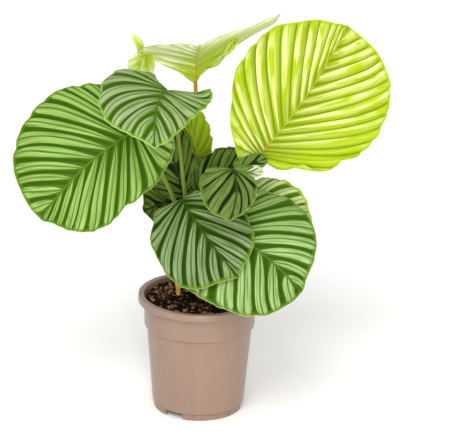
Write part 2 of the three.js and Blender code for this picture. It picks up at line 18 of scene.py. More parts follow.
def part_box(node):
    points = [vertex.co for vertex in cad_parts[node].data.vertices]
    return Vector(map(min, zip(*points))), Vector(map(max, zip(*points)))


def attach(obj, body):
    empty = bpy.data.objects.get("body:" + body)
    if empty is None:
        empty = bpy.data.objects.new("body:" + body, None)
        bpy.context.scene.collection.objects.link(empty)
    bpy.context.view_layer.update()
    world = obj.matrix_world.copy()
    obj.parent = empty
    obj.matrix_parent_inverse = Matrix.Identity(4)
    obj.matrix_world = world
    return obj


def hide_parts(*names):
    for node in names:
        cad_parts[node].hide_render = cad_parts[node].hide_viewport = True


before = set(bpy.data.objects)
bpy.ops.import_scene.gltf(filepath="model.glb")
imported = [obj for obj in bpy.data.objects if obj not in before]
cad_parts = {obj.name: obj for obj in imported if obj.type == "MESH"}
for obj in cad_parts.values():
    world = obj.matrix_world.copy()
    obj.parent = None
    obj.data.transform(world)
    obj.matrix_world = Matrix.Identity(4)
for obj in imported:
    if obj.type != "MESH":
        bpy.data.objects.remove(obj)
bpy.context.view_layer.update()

MM = 0.001
print("nodes in the packed plant:", len(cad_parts))

# %% [markdown]
# All leaf and soil values below are written in millimetres from the pot's own axis, the way a plant is
# measured with a ruler beside its pot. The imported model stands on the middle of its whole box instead, so
# the pot's box tells how far its axis lies from that origin.

# %% Find the pot's axis
pot_low, pot_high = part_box("pot")
POT_AXIS = np.array([(pot_low.x + pot_high.x) / 2, (pot_low.y + pot_high.y) / 2, 0.0])
RIM_RADIUS = (pot_high.x - pot_low.x) / 2 / MM
POT_HEIGHT = pot_high.z / MM
print("pot axis", POT_AXIS.round(4), "rim radius", round(RIM_RADIUS, 1), "height", round(POT_HEIGHT, 1))


def to_frame(points):
    """Points in millimetres from the pot's axis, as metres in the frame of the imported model."""
    return np.asarray(points, float) * MM + POT_AXIS


# %% [markdown]
# Colours are written as the sRGB hex values that a colour card or a picture shows. Blender's shaders work in
# linear light, so one function turns the one into the other. A second small function adds any shader node,
# with its settings and with its sockets filled by a value, by another node or by one of its outputs, because
# a material then reads from top to bottom like a recipe.
# Two kinds come back often. A map range takes a value, the two ends of the span that it reads, and the two
# values that it gives there, 0 and 1 if they are left out. A colour mix goes from the colour in its socket 6
# to the one in its socket 7 as its socket 0 rises from 0 to 1.

# %% Colour and node helpers
SMOOTH = dict(interpolation_type="SMOOTHSTEP")
IN_COLOUR = dict(data_type="RGBA")


def linear(hex_colour):
    """An sRGB hex colour as the linear RGBA that shader sockets take."""
    channels = [int(hex_colour[i:i + 2], 16) / 255 for i in (1, 3, 5)]
    return [c / 12.92 if c <= 0.04045 else ((c + 0.055) / 1.055) ** 2.4 for c in channels] + [1.0]


def add_node(tree, kind, inputs=(), **settings):
    """Adds a shader node. inputs gives its sockets, in order or by name, a value, a node or its output."""
    node = tree.nodes.new("ShaderNode" + kind)
    for name, value in settings.items():
        setattr(node, name, value)
    for key, value in inputs.items() if isinstance(inputs, dict) else enumerate(inputs):
        if isinstance(value, bpy.types.Node):
            value = next(output for output in value.outputs if output.enabled)
        if isinstance(value, bpy.types.NodeSocket):
            tree.links.new(value, node.inputs[key])
        else:
            node.inputs[key].default_value = value
    return node


def new_material(name):
    """An empty node material, and the function that adds a node to it."""
    material = bpy.data.materials.new(name)
    material.use_nodes = True
    material.node_tree.nodes.clear()
    return material, partial(add_node, material.node_tree)


print("mid grey in linear light:", round(linear("#808080")[0], 3))

# %% [markdown]
# A mesh here is always made the same way: points and faces worked out with numpy, one material number for
# each face, and a few named attributes that tell a shader where on the piece it is, such as how far along a
# vein. Attributes beat an unwrapped image here, because the stripes then stay sharp at any size.


# %% Mesh helper
def build_piece(name, points, faces, materials, face_slots=None, attributes=None, sharp=50):
    """A shaded mesh piece from points in millimetres from the pot's axis."""
    mesh = bpy.data.meshes.new(name)
    mesh.from_pydata(to_frame(points).tolist(), [], [list(map(int, f)) for f in faces])
    for material in materials:
        mesh.materials.append(material)
    if face_slots is not None:
        mesh.polygons.foreach_set("material_index", np.asarray(face_slots, np.int32))
    for key, values in (attributes or {}).items():
        attribute = mesh.attributes.new(key, "FLOAT", "POINT")
        attribute.data.foreach_set("value", np.asarray(values, np.float32))
    mesh.polygons.foreach_set("use_smooth", np.ones(len(mesh.polygons), bool))
    mesh.set_sharp_from_angle(angle=math.radians(sharp))
    mesh.update()
    piece = bpy.data.objects.new(name, mesh)
    bpy.context.scene.collection.objects.link(piece)
    return piece


# %% [markdown]
# Stalks, pot and soil are all rings of points, one after the other, with walls between them.

# %% Ring helper
def ring_walls(rings, sides, first=0):
    """Numbers of the points on each ring, from first on, and the quads that join every ring to the next."""
    ids = first + np.arange(rings * sides).reshape(rings, sides)
    turned = np.roll(ids, -1, axis=1)
    return ids, np.stack([ids[:-1], ids[1:], turned[1:], turned[:-1]], axis=-1).reshape(-1, 4)


print("walls between three rings of four points:", len(ring_walls(3, 4)[1]))

# %% [markdown]
# The twelve leaves, by their driving dimensions: where the joint and the tip are, which way the upper side
# looks, and how each half is shaped. The solid blades have the same values, so a finer blade lies where the
# plain one is. What differs is small: the number of bands, the point and the veins of the small leaf, and a
# few dents and curls.
# facing is the azimuth and elevation that the upper side looks to. Pairs are the left half and the right
# half, seen from above with the tip ahead, and -1 and 1 name the same two halves. wide is how far a half
# reaches out, lobe how far it reaches back past the joint, skew how far its widest place is moved to the
# tip, and a larger taper makes its ends slimmer. fold lifts a half beside the midrib and droop bends it
# down. bow arches the midrib, lift makes its start steeper, and sweep bends it sideways. opening is the part
# of the outline left open behind the joint, and crowding how near to the joint the veins start. pleat is the
# height of the pleats, and uneven the share of the small waves.
# A bay is a dent in the edge: half, place, depth and spread. An ear is a place that stands up: half, place,
# spread, rise and pull inwards. A wave has a height, a count and a phase. A curl is a loose piece of
# margin, made as a small blade, and its off_rib keeps the midrib's colour off it.
# stalk lists points on the stalk from the soil up, approach is its direction where it meets the blade, ahead
# and above, and sheath is how much thicker it is near its foot.

# %% Leaf dimensions
PLAIN_LEAF = dict(
    wide=(40, 40), lobe=(10, 10), skew=(0, 0), taper=(0.9, 0.9), point=6, fold=(5, 5), droop=(20, 20),
    bow=25, lift=0, sweep=0, bays=(), ears=(), waves=(), curls=(), bands=7, opening=0.12, crowding=3.2,
    approach=(0.45, 0.9), sheath=0.8, finish="shaded", pleat=1.1, off_rib=0, uneven=1,
)
CURL = dict(
    lobe=(4, 4), taper=(0.7, 0.7), point=0, fold=(0, 0), droop=(30, 30), bow=40, bands=3, off_rib=12,
    pleat=0.3, uneven=0.3,
)
LEAVES = {
    "left": dict(
        joint=(-88, -30, 405), tip=(-209, -62, 293), facing=(-12, 28), bands=12, wide=(86, 107),
        lobe=(50, 18), skew=(0.1, -0.07), taper=(1.14, 0.6), fold=(-7, 21), droop=(23, 34), sweep=0.045,
        bays=((-1, 0.44, 0.12, 0.12), (1, 0.22, 0.04, 0.05)),
        stalk=((-6, 28, 158), (-20, 21, 230), (-41, 6, 304), (-54, -2, 335)), finish="sunlit",
    ),
    "crown": dict(
        joint=(-48, 0, 452), tip=(-60, -155, 425), facing=(0, 80), bands=9, wide=(58, 78), lobe=(33, 73),
        skew=(-0.32, 0.35), taper=(1.06, 0.87), bow=40, sweep=0.033, fold=(-8, 29), droop=(21, 14),
        ears=((-1, 0.22, 0.12, 16, 0),),
        stalk=((2, 14, 158), (-9, 10, 230), (-23, 9, 303), (-35, 8, 390)), finish="silvery",
    ),
    "top": dict(
        joint=(-13, 92, 435), tip=(-6, -52, 528), facing=(-172, 60), bands=8, wide=(125, 80),
        lobe=(-10, -10), skew=(-0.05, -0.05), taper=(3, 1.7), bow=10, lift=60, fold=(28, 12), droop=(10, 12),
        ears=((-1, 0.11, 0.05, -8, 0), (-1, 0.45, 0.05, 5, 0), (-1, 0.62, 0.04, -6, 0)), crowding=1.6,
        curls=(
            dict(joint=(-74, 44, 494), tip=(-98, 70, 455), facing=(-15, 0), wide=(25, 15), skew=(0.32, 0.32),
                 taper=(1.1, 1.3)),
            dict(joint=(-84, 36, 490), tip=(-97, 24, 519), facing=(25, 10), wide=(4, 9), skew=(0, 0.1),
                 taper=(1.2, 1.3), point=3),
            dict(joint=(42, 62, 506), tip=(27, 60, 485), facing=(-20, 0), wide=(5, 6), skew=(0, 0.1),
                 taper=(1.2, 1.2), point=3),
        ),
        approach=(0.95, 0.3), stalk=((-2, 56, 158), (-5, 76, 260), (-8, 102, 360)), finish="unrolling",
    ),
    "right": dict(
        joint=(73, 0, 361), tip=(191, 72, 527), facing=(175, 10), bands=17, wide=(111, 108), lobe=(-17, 38),
        skew=(0.01, 0.08), taper=(0.63, 1.76), point=0, bow=20, fold=(4, 0), droop=(18, 22), sweep=-0.045,
        bays=((-1, 0.08, 0.1, 0.035), (-1, 0.29, 0.07, 0.04), (1, 0.18, 0.06, 0.09)), waves=((4, 5, 0.2),),
        opening=0.04, pleat=-0.9, approach=(0.9, 0.4),
        stalk=((15, 28, 158), (25, 11, 250), (44, -2, 310)), finish="young",
    ),
    "front": dict(
        joint=(-27, -28, 310), tip=(47, -98, 231), facing=(10, 35), bands=8, wide=(63, 74), lobe=(6, 16),
        skew=(0.05, 0.2), taper=(1.25, 0.81), fold=(6, 8), droop=(18, 17), sweep=0.039,
        ears=((1, 0.23, 0.06, 8, -4),), sheath=1.8, stalk=((-30, 16, 158), (-33, 4, 200)), finish="deep",
    ),
    "low_right": dict(
        joint=(17, -32, 279), tip=(132, -80, 205), facing=(15, 24), bands=9, wide=(83, 104), lobe=(22, 40),
        skew=(0.08, -0.08), taper=(1, 0.63), fold=(9, 17), droop=(15, 15), sweep=-0.033,
        stalk=((10, 0, 158), (9, -16, 220)), finish="pale",
    ),
    "small": dict(
        joint=(40, -50, 361), tip=(39, -105, 311), facing=(-10, 45), bow=30, sweep=-0.099, wide=(27, 49),
        lobe=(16, 5), skew=(0.01, -0.07), fold=(2, 10), droop=(15, 18), bays=((-1, 0.25, 0.14, 0.07),),
        bands=5, crowding=9, point=3, pleat=1.6,
        curls=(
            dict(joint=(46, -45, 356), tip=(87, -34, 371), facing=(0, 40), wide=(16, 12), fold=(0, -35)),
            dict(joint=(41, -50, 354), tip=(81, -46, 357), facing=(180, -25), wide=(9, 10)),
        ),
        stalk=((18, 8, 158), (20, 1, 240), (24, -5, 300)), finish="cupped",
    ),
    "inner_right": dict(
        joint=(-6, 17, 300), tip=(61, 30, 353), facing=(0, 25), bands=5, bow=30, wide=(36, 36), lobe=(4, 4),
        stalk=((4, 34, 158), (3, 27, 230)),
    ),
    "behind_right": dict(
        joint=(52, 16, 290), tip=(143, -8, 277), facing=(10, 30), wide=(46, 40),
        stalk=((24, 18, 158), (34, 22, 230)), finish="hindmost",
    ),
    "behind_left": dict(
        joint=(-28, 52, 286), tip=(-76, 48, 267), facing=(-20, 15), bow=15, wide=(44, 50), lobe=(6, 6),
        droop=(10, 10), bands=5, stalk=((-20, 52, 158), (-24, 64, 230)),
    ),
    "inner_left": dict(
        joint=(-24, 34, 292), tip=(-56, 54, 397), facing=(-8, 5), bow=15, wide=(44, 30), lobe=(6, 2),
        skew=(0, -0.06), bands=5, stalk=((-10, 40, 158), (-19, 46, 230)),
    ),
    "under_crown": dict(
        joint=(-6, 62, 336), tip=(-29, 66, 414), facing=(180, 5), bow=15, wide=(26, 18), lobe=(8, 8),
        droop=(10, 10), approach=(0.97, 0.2), stalk=((8, 46, 158), (10, 66, 250)), finish="screened",
    ),
}
print("leaves:", ", ".join(LEAVES))

# %% [markdown]
# A blade of this plant is a stiff midrib with side veins that leave it at a slant and sweep forward to the
# edge. So the blade is built along those veins: q counts them from the joint to the tip, and t runs along
# one vein from the midrib to the edge. The midrib comes first, as a gently bent line in its own plane.

# %% The bent midrib
MIDRIB_STEPS = 64
LIFT_REACH = 0.35


def unit(vector):
    """The direction of a vector, with length 1."""
    return vector / np.linalg.norm(vector)


def facing_vector(azimuth, elevation):
    """Unit vector towards an azimuth, 0 being straight at the viewer, and an elevation, in degrees."""
    a, e = math.radians(azimuth), math.radians(elevation)
    return np.array([math.sin(a) * math.cos(e), -math.cos(a) * math.cos(e), math.sin(e)])


class Midrib:
    """The course of a leaf's midrib: its plane, its length and its slope along the way."""

    def __init__(self, leaf):
        self.joint = np.array(leaf["joint"], float)
        chord = np.array(leaf["tip"], float) - self.joint
        self.forward = unit(chord)
        up = facing_vector(*leaf["facing"])
        self.up = unit(up - self.forward * (up @ self.forward))
        self.right = np.cross(self.forward, self.up)
        self.sweep = leaf["sweep"]
        self.bow, self.lift = math.radians(leaf["bow"]), math.radians(leaf["lift"])
        slopes = self.slope(np.linspace(0, 1, MIDRIB_STEPS + 1))
        steps = (slopes[1:] + slopes[:-1]) / 2
        self.ahead = np.concatenate([[0], np.cumsum(np.cos(steps))]) / MIDRIB_STEPS
        self.above = np.concatenate([[0], np.cumsum(np.sin(steps))]) / MIDRIB_STEPS
        self.turn = math.atan2(self.above[-1], self.ahead[-1])
        self.length = np.linalg.norm(chord) / math.hypot(self.ahead[-1], self.above[-1])
        slope = float(slopes[0]) - self.turn
        self.joint_up = self.up * math.cos(slope) - self.forward * math.sin(slope)

    def slope(self, u):
        """Slope in radians at a share of the midrib's length, before it is turned to end at the tip."""
        return self.bow * (0.5 - u) + self.lift * np.maximum(1 - u / LIFT_REACH, 0) ** 2

    def at(self, distance):
        """How far ahead and above the midrib is at a distance from the joint, and its slope there."""
        u = np.clip(distance / self.length, 0, 1)
        marks = np.linspace(0, 1, MIDRIB_STEPS + 1)
        a, b = np.interp(u, marks, self.ahead), np.interp(u, marks, self.above)
        slope = self.slope(u) - self.turn
        past = distance - u * self.length
        cos, sin = math.cos(self.turn), math.sin(self.turn)
        ahead = (a * cos + b * sin) * self.length + past * np.cos(slope)
        above = (b * cos - a * sin) * self.length + past * np.sin(slope)
        return ahead, above, slope

    def aside(self, distance):
        """How far the midrib has swept to its right at a distance from the joint."""
        return self.sweep * 4 * distance * (1 - distance / self.length)


left_leaf = {**PLAIN_LEAF, **LEAVES["left"]}
left_midrib = Midrib(left_leaf)
print("midrib of the large left leaf:", round(float(left_midrib.length), 1), "mm long")

# %% [markdown]
# The edge of each half is an oval with a lobe behind the joint and a small point at the tip. The two halves
# differ, because on this plant one half of each blade is wider than the other. Dents, called bays here, are
# pushed into the oval towards the heart of the blade.

# %% The blade's outline
SINUS_ANGLE = 0.3
TIP_ANGLE = 0.16
BLADE_HEART = 0.45


def bump(value, at, spread):
    """A smooth bump of height 1 around one place."""
    return np.exp(-(((value - at) / spread) ** 2))


def edge_of(leaf, length, q, side):
    """Flat outline of one half: distance out from the midrib and along it."""
    half = 0 if side < 0 else 1
    lobe = leaf["lobe"][half]
    phi = math.pi * (leaf["opening"] + (1 - leaf["opening"]) * q)
    out = leaf["wide"][half] * np.maximum(np.sin(phi), 0) ** leaf["taper"][half]
    along = (length - lobe) / 2 - (length + lobe) / 2 * np.cos(phi)
    along = along + lobe * bump(phi, 0, SINUS_ANGLE) + leaf["point"] * bump(phi, math.pi, TIP_ANGLE)
    along = along + leaf["skew"][half] * length * np.sin(phi) ** 2
    for bay_side, at, depth, spread in leaf["bays"]:
        if bay_side == side:
            pull = 1 - depth * bump(q, at, spread)
            out = out * pull
            along = (along - length * BLADE_HEART) * pull + length * BLADE_HEART
    return out, along


for side, label in ((-1, "left"), (1, "right")):
    reach, _ = edge_of(left_leaf, left_midrib.length, np.linspace(0, 1, MIDRIB_STEPS), side)
    print("its", label, "half reaches out", round(float(reach.max()), 1), "mm")

# %% [markdown]
# The main veins radiate from the joint like the ribs of an onion: each starts close to its neighbours on the
# midrib, swings wide, and sweeps forward to the edge. A quadratic curve through one bend point draws each.
# Between midrib and edge each half rises a little, bends down, and is pleated: the tissue arches up between
# two main veins and meets at a sharp crease on them. The edge bulges a little between two veins too. Small
# uneven waves keep it from looking pressed, and stay under two millimetres so the blade fits its solid. They
# grow towards the edge as a power of t, so the part beside the midrib stays calm.

# %% Points of the blade's middle surface
VEIN_START = dict(first=0.03, span=0.9)
VEIN_BEND = dict(out=0.86, along=0.68)
PLEAT_SHARPNESS = 0.25
PLEAT_FULLNESS = 0.7
EDGE_RIPPLE = 0.8
RIPPLES = (5, 9, 14)
SCALLOP = 1.5
SCALLOP_MEAN = 0.6
EDGE_WANDER = 0.7
WANDERS = (7, 12, 19)
RIPPLE_POWER = 4
WAVE_POWER = 2.2
EAR_POWER = 3
TIP_SHARE = 0.25
TIP_CROWDING = 5


def band_at(leaf, q):
    """Bands counted from the joint to a vein: they lie closer together near the tip."""
    near_tip = round(leaf["bands"] * TIP_SHARE)
    return (leaf["bands"] - near_tip) * q + near_tip * q ** TIP_CROWDING


def blade_points(leaf, midrib, q, t, side, phases):
    """Points of one half's middle surface, and each point's flat distance out from the midrib."""
    half = 0 if side < 0 else 1
    crest = np.abs(np.sin(math.pi * band_at(leaf, q)))
    edge_out, edge_along = edge_of(leaf, midrib.length, q, side)
    for k, count in enumerate(WANDERS):
        wander = EDGE_WANDER / (k + 1) * np.sin(math.tau * count * q + phases[half][k + len(RIPPLES)])
        edge_out = edge_out + leaf["uneven"] * wander
    scallop = leaf["uneven"] * SCALLOP * (crest - SCALLOP_MEAN)
    edge_out = np.maximum(edge_out + scallop * np.sin(math.pi * q), 0)
    start = midrib.length * (VEIN_START["first"] * q + VEIN_START["span"] * q ** leaf["crowding"])
    bend_out = VEIN_BEND["out"] * edge_out
    bend_along = start + VEIN_BEND["along"] * (edge_along - start)
    out = 2 * t * (1 - t) * bend_out + t * t * edge_out
    along = (1 - t) ** 2 * start + 2 * t * (1 - t) * bend_along + t * t * edge_along

    fold = math.radians(leaf["fold"][half])
    rate = math.radians(leaf["droop"][half]) / leaf["wide"][half]
    tilt = fold - rate * out
    swell = (4 * t * (1 - t)) ** PLEAT_FULLNESS
    wave = -np.cos(math.tau * band_at(leaf, q))
    lift = leaf["pleat"] * swell * (wave + PLEAT_SHARPNESS * (2 * crest - 1 - wave))
    for k, count in enumerate(RIPPLES):
        ripple = EDGE_RIPPLE / (k + 1) * np.sin(math.tau * count * q + phases[half][k])
        lift = lift + leaf["uneven"] * ripple * t ** RIPPLE_POWER
    for height, count, phase in leaf["waves"]:
        lift = lift + height * np.sin(math.tau * (count * q + phase)) * t ** WAVE_POWER
    pull = 0
    for ear_side, at, spread, rise, inward in leaf["ears"]:
        if ear_side == side:
            share = bump(q, at, spread) * t ** EAR_POWER
            lift = lift + rise * share
            pull = pull + inward * share
    sideways = (math.sin(fold) - np.sin(tilt)) / rate - np.sin(tilt) * lift - pull
    upwards = (np.cos(tilt) - math.cos(fold)) / rate + np.cos(tilt) * lift
    ahead, above, slope = midrib.at(along)
    return (
        midrib.joint
        + midrib.forward * (ahead - np.sin(slope) * upwards)[..., None]
        + midrib.up * (above + np.cos(slope) * upwards)[..., None]
        + midrib.right * (side * sideways + midrib.aside(along))[..., None]
    ), out


print("bands in the first half of the large left leaf:", round(float(band_at(left_leaf, 0.5)), 1))

# %% [markdown]
# The blade becomes a closed sheet: the middle surface is moved half a thickness up and half down, the midrib
# stands out below as a round rib, which thins towards the tip, and a narrow wall joins the two faces along
# the edge. Rows are closer together near the midrib, where the rib is only a few millimetres wide.

# %% Build one blade
BLADE_THICKNESS = 0.7
RIB_DEPTH = 1.5
RIB_HALF_WIDTH = 1.9
GROOVE_DEPTH = 0.25
RIB_LOSS = 0.75
RIB_LOSS_POWER = 1.5
COLUMNS_PER_BAND = 14
ROWS = 26
STRIDE = 2 * ROWS + 1
ROW_SPACING = 1.35
JOINT_CALM = 15
BAND_OFFSET = 17


def point_normals(points, quads):
    """Mean direction of the faces around each point."""
    a, b, c, d = (points[quads[:, k]] for k in range(4))
    cross = np.cross(c - a, d - b)
    normals = np.zeros_like(points)
    for k in range(4):
        np.add.at(normals, quads[:, k], cross)
    return normals / np.maximum(np.linalg.norm(normals, axis=1), 1e-9)[:, None]


def side_by_side(left, right):
    """The left half's values from its edge inwards, then the right half's from the midrib outwards."""
    return np.concatenate([left[:, :0:-1], right], axis=1)


def blade_mesh(leaf, midrib, seed):
    """Points, faces, face slots and attributes of one blade: slot 0 is the upper side, slot 1 the rest."""
    rng = random.Random(seed)
    phases = [[rng.uniform(0, math.tau) for _ in RIPPLES + WANDERS] for _ in range(2)]
    columns = leaf["bands"] * COLUMNS_PER_BAND
    q_line = np.linspace(0, 1, columns + 1)
    t_line = np.linspace(0, 1, ROWS + 1) ** ROW_SPACING
    q, t = np.meshgrid(q_line, t_line, indexing="ij")
    halves, fields = [], []
    for side in (-1, 1):
        points, out = blade_points(leaf, midrib, q, t, side, phases)
        steps = np.linalg.norm(np.diff(points, axis=1), axis=2)
        run = np.concatenate([np.zeros((columns + 1, 1)), np.cumsum(steps, axis=1)], axis=1)
        halves.append(points)
        fields.append({
            "band": band_at(leaf, q) + seed * BAND_OFFSET,
            "run": t,
            "half": np.full_like(t, side),
            "from_rib": out + leaf["off_rib"],
            "from_edge": run[:, -1:] - run,
            "to_tip": q,
        })
    field = {key: side_by_side(fields[0][key], fields[1][key]).ravel() for key in fields[0]}
    grid = side_by_side(*halves)
    welded_tip = (halves[0][-1] + halves[1][-1]) / 2
    grid[-1, ROWS:] = welded_tip
    grid[-1, :ROWS] = welded_tip[:0:-1]

    ids = np.arange((columns + 1) * STRIDE).reshape(columns + 1, STRIDE)
    ids[-1, :ROWS] = ids[-1, :ROWS:-1]
    quads = np.stack([ids[:-1, :-1], ids[:-1, 1:], ids[1:, 1:], ids[1:, :-1]], axis=-1).reshape(-1, 4)
    middle = grid.reshape(-1, 3)
    normals = point_normals(middle, quads)
    near_joint = bump(np.linalg.norm(middle - midrib.joint, axis=1), 0, JOINT_CALM)[:, None]
    normals = normals * (1 - near_joint) + midrib.joint_up * near_joint
    normals /= np.linalg.norm(normals, axis=1)[:, None]
    rib = bump(field["from_rib"], 0, RIB_HALF_WIDTH) * (1 - RIB_LOSS * field["to_tip"] ** RIB_LOSS_POWER)
    upper = middle + normals * (BLADE_THICKNESS / 2 - GROOVE_DEPTH * rib)[:, None]
    lower = middle - normals * (BLADE_THICKNESS / 2 + RIB_DEPTH * rib)[:, None]
    count = len(middle)
    under = quads[:, ::-1] + count
    rim = np.concatenate([ids[:-1, 0], ids[-1:, -1], ids[-2::-1, -1], ids[0, -2:0:-1]])
    wall = np.stack([rim, np.roll(rim, -1), np.roll(rim, -1) + count, rim + count], axis=1)
    faces = np.concatenate([quads, under, wall])
    slots = np.arange(len(faces)) >= len(quads)
    attributes = {key: np.tile(values, 2) for key, values in field.items()}
    return np.concatenate([upper, lower]), faces, slots, attributes


def joined(sheets):
    """Several sheets as one: points, faces, face slots and attributes put end to end."""
    starts = np.cumsum([0] + [len(sheet[0]) for sheet in sheets])
    points = np.concatenate([sheet[0] for sheet in sheets])
    faces = np.concatenate([sheet[1] + start for sheet, start in zip(sheets, starts)])
    slots = np.concatenate([sheet[2] for sheet in sheets])
    attributes = {key: np.concatenate([sheet[3][key] for sheet in sheets]) for key in sheets[0][3]}
    return points, faces, slots, attributes


print("points across a blade:", STRIDE, "along it:", COLUMNS_PER_BAND, "for each band")

# %% [markdown]
# The upper side of a grown blade is living tissue under a thin waxy skin: the wax gives a satin sheen, and
# the silvery bands are places where air under the skin scatters light before it reaches the green. They are
# painted along the veins: a dark band on each main vein, two pale bands beside it, and a thin dark line on
# the crest between them. The pale bands are long lenses: they start as points a few millimetres from the
# midrib and end as points just inside the edge, where the blade is a plain bright green.
# The fine parallel veins are 1 to 1.6 mm apart at the edge, a little coarser than the real ones so that they
# show. Light enters the skin by about a millimetre, and comes out again mostly green. The two halves read
# the same noise far apart, and read it stretched along the veins.

# %% Striped leaf skin
FINE_VEINS_PER_BAND = 13
LEAF_SEED = 11
HALVES_APART = 40.0
LENGTHWAYS = 1.6
BAND_WANDER = 0.09
THINNER = 0.11
WIDER = 0.12
CREASE_DEPTH = 6.0
MARGIN_WIDTH = 7.0
EDGE_LINE_WIDTH = 1.1
VEIN_RELIEF = 0.05
WAX_GRAIN = 1.2
LIGHT_SHARE = 0.1
LIGHT_DEPTH = 1.2
DEPTH_BY_COLOUR = (0.6, 1.0, 0.15)
LEAF_IOR = 1.42


def blade_material(name, pale, mid, dark, margin, edge, rib, rib_base, gloss, dark_share, contrast, line,
                   patch=0.15, lean=0.0, plain=0.0, crease=0.0, shine=0.07, rib_width=2.0, rib_reach=0.3,
                   blanch=0.0):
    """Leaf skin from its seven colours and the values of its look.

    dark_share is the dark part of a band, contrast the strength of the pale part, and line that of the thin
    dark line on the crest. patch is how much the pale bands vary, lean how far they keep to the lit side of
    a fold, a painted highlight, while the green on the other side darkens as painted shade, plain how far
    they fade at the base of the left half, as painted shade, and blanch how far the blade pales outwards.
    crease is the strength of the dark line along each vein, painted shade in the crease, and shine that of
    the wax's reflection.
    rib_width is half the midrib in millimetres, and rib_reach the part of it that starts in another colour.
    """
    material, add = new_material(name)
    band, run, half, from_rib, from_edge, to_tip = (
        add("Attribute", attribute_name=key).outputs["Fac"]
        for key in ("band", "run", "half", "from_rib", "from_edge", "to_tip")
    )

    # Bands wander a little from their vein; crest is 0 on a main vein and 1 midway between two
    half_shift = add("Math", [half, HALVES_APART], operation="MULTIPLY")
    run_long = add("Math", [run, LENGTHWAYS], operation="MULTIPLY")
    place = add("CombineXYZ", {"X": band, "Y": run_long, "Z": half_shift})
    wander = add("TexNoise", {"Vector": place, "Scale": 0.8, "Detail": 0.0})
    shift = add("MapRange", [wander, 0.3, 0.7, -BAND_WANDER, BAND_WANDER])
    bent = add("Math", [band, shift], operation="ADD")
    ping = add("Math", [bent, 0.5], operation="PINGPONG")
    crest = add("Math", [ping, 2.0], operation="MULTIPLY")
    across = add("Math", [bent], operation="FRACT")

    # The lit flank of a fold is the one away from the base on the left half, and the other on the right.
    # Folded leaves get a painted highlight on it, and painted shade on the other flank.
    flank = add("Math", [across, 0.5], operation="SUBTRACT")
    flank = add("Math", [flank, half], operation="MULTIPLY")
    flank = add("Math", [0.5, flank], operation="SUBTRACT")

    # Each dark band has its own width, and all widen towards the midrib, the edge and the tip
    number = add("Math", [bent], operation="ROUND")
    number = add("Math", [number, half_shift], operation="ADD")
    chance = add("TexWhiteNoise", {"W": number}, noise_dimensions="1D")
    width = add("MapRange", {0: chance, 3: dark_share - THINNER, 4: dark_share + WIDER})
    by_rib = add("MapRange", [run, 0.0, 0.34, 0.75, 0.0])
    by_rib = add("Math", [by_rib, 2.0], operation="POWER")
    by_edge = add("MapRange", [run, 0.84, 1.0, 0.0, 0.3])
    by_tip = add("MapRange", [to_tip, 0.7, 0.95, 0.0, 0.08])
    for more in (by_rib, by_edge, by_tip):
        width = add("Math", [width, more], operation="ADD")
    above = add("Math", [crest, width], operation="SUBTRACT")
    silver = add("MapRange", [above, -0.05, 0.09, 0.0, contrast], **SMOOTH)

    # Fine parallel veins streak the pale bands, and some places are paler than others
    fine_place = add("Math", [bent, float(FINE_VEINS_PER_BAND)], operation="MULTIPLY")
    fine_at = add("CombineXYZ", {"X": fine_place, "Y": run_long, "Z": half_shift})
    streak = add("TexNoise", {"Vector": fine_at, "Scale": 1.0, "Detail": 2.0})
    streaked = add("MapRange", [streak, 0.36, 0.56, 0.3, 1.0])
    cloud_at = add("CombineXYZ", {"X": across, "Y": run_long, "Z": number})
    cloud = add("TexNoise", {"Vector": cloud_at, "Scale": 1.9, "Detail": 1.0})
    clouded = add("MapRange", [cloud, 0.38, 0.56, 1.0 - patch, 1.0])
    # On folded leaves the pale bands are painted highlights, kept to the lit flank of each fold
    lit_flank_highlight = add("MapRange", [flank, 0.25, 0.7, 1.0 - lean, 1.0], **SMOOTH)
    # The pale bands fade at the base of the left half: painted shade
    right_half = add("MapRange", [half, -1.0, 1.0, 0.0, 0.6])
    upward = add("Math", [to_tip, right_half], operation="ADD")
    painted_shade_fade = add("MapRange", [upward, 0.4, 0.7, 1.0 - plain, 1.0])
    for share in (streaked, clouded, lit_flank_highlight, painted_shade_fade):
        silver = add("Math", [silver, share], operation="MULTIPLY")
    outward = add("MapRange", [run, 0.2, 0.85, 0.0, blanch])
    silver = add("Math", [silver, outward], operation="MAXIMUM")

    # The green under the bands is darkest on the veins and beside the midrib. On folded leaves it is also
    # darker on the flank away from the light, as painted shade.
    on_vein = add("MapRange", [crest, 0.1, 0.5], **SMOOTH)
    to_light = add("MapRange", [flank, 0.0, 0.5, 0.3, 1.0])
    light = add("Mix", {0: lean, 2: on_vein, 3: to_light})
    beside_rib = add("MapRange", [run, 0.0, 0.3 + blanch / 2, 0.5 - blanch / 2, 1.0])
    light = add("Math", [light, beside_rib], operation="MULTIPLY")
    colour = add("Mix", {0: light, 6: linear(dark), 7: linear(mid)}, **IN_COLOUR)

    # Over it come the pale bands, the thin dark lines, the dark lines along the veins that are painted shade
    # in the creases, the plain margin and the pale line of the very edge
    on_line = add("MapRange", [crest, 0.85, 0.94, 0.0, line], **SMOOTH)
    # A dark line along each vein: painted shade in the crease
    painted_crease_shade = add("MapRange", [crest, 0.02, 0.14, crease, 0.0], **SMOOTH)
    at_margin = add("MapRange", [from_edge, MARGIN_WIDTH, 1.5, 0.0, 0.75], **SMOOTH)
    at_edge = add("MapRange", [from_edge, EDGE_LINE_WIDTH, 0.3, 0.0, 0.6])
    layers = ((silver, pale), (on_line, dark), (painted_crease_shade, dark), (at_margin, margin), (at_edge, edge))
    for share, tone in layers:
        colour = add("Mix", {0: share, 6: colour, 7: linear(tone)}, **IN_COLOUR)
    on_rib = add("MapRange", [from_rib, rib_width, 0.6], **SMOOTH)
    rib_blend = add("MapRange", [to_tip, rib_reach * 0.3, rib_reach])
    rib_colour = add("Mix", {0: rib_blend, 6: linear(rib_base), 7: linear(rib)}, **IN_COLOUR)
    colour = add("Mix", {0: on_rib, 6: colour, 7: rib_colour}, **IN_COLOUR)

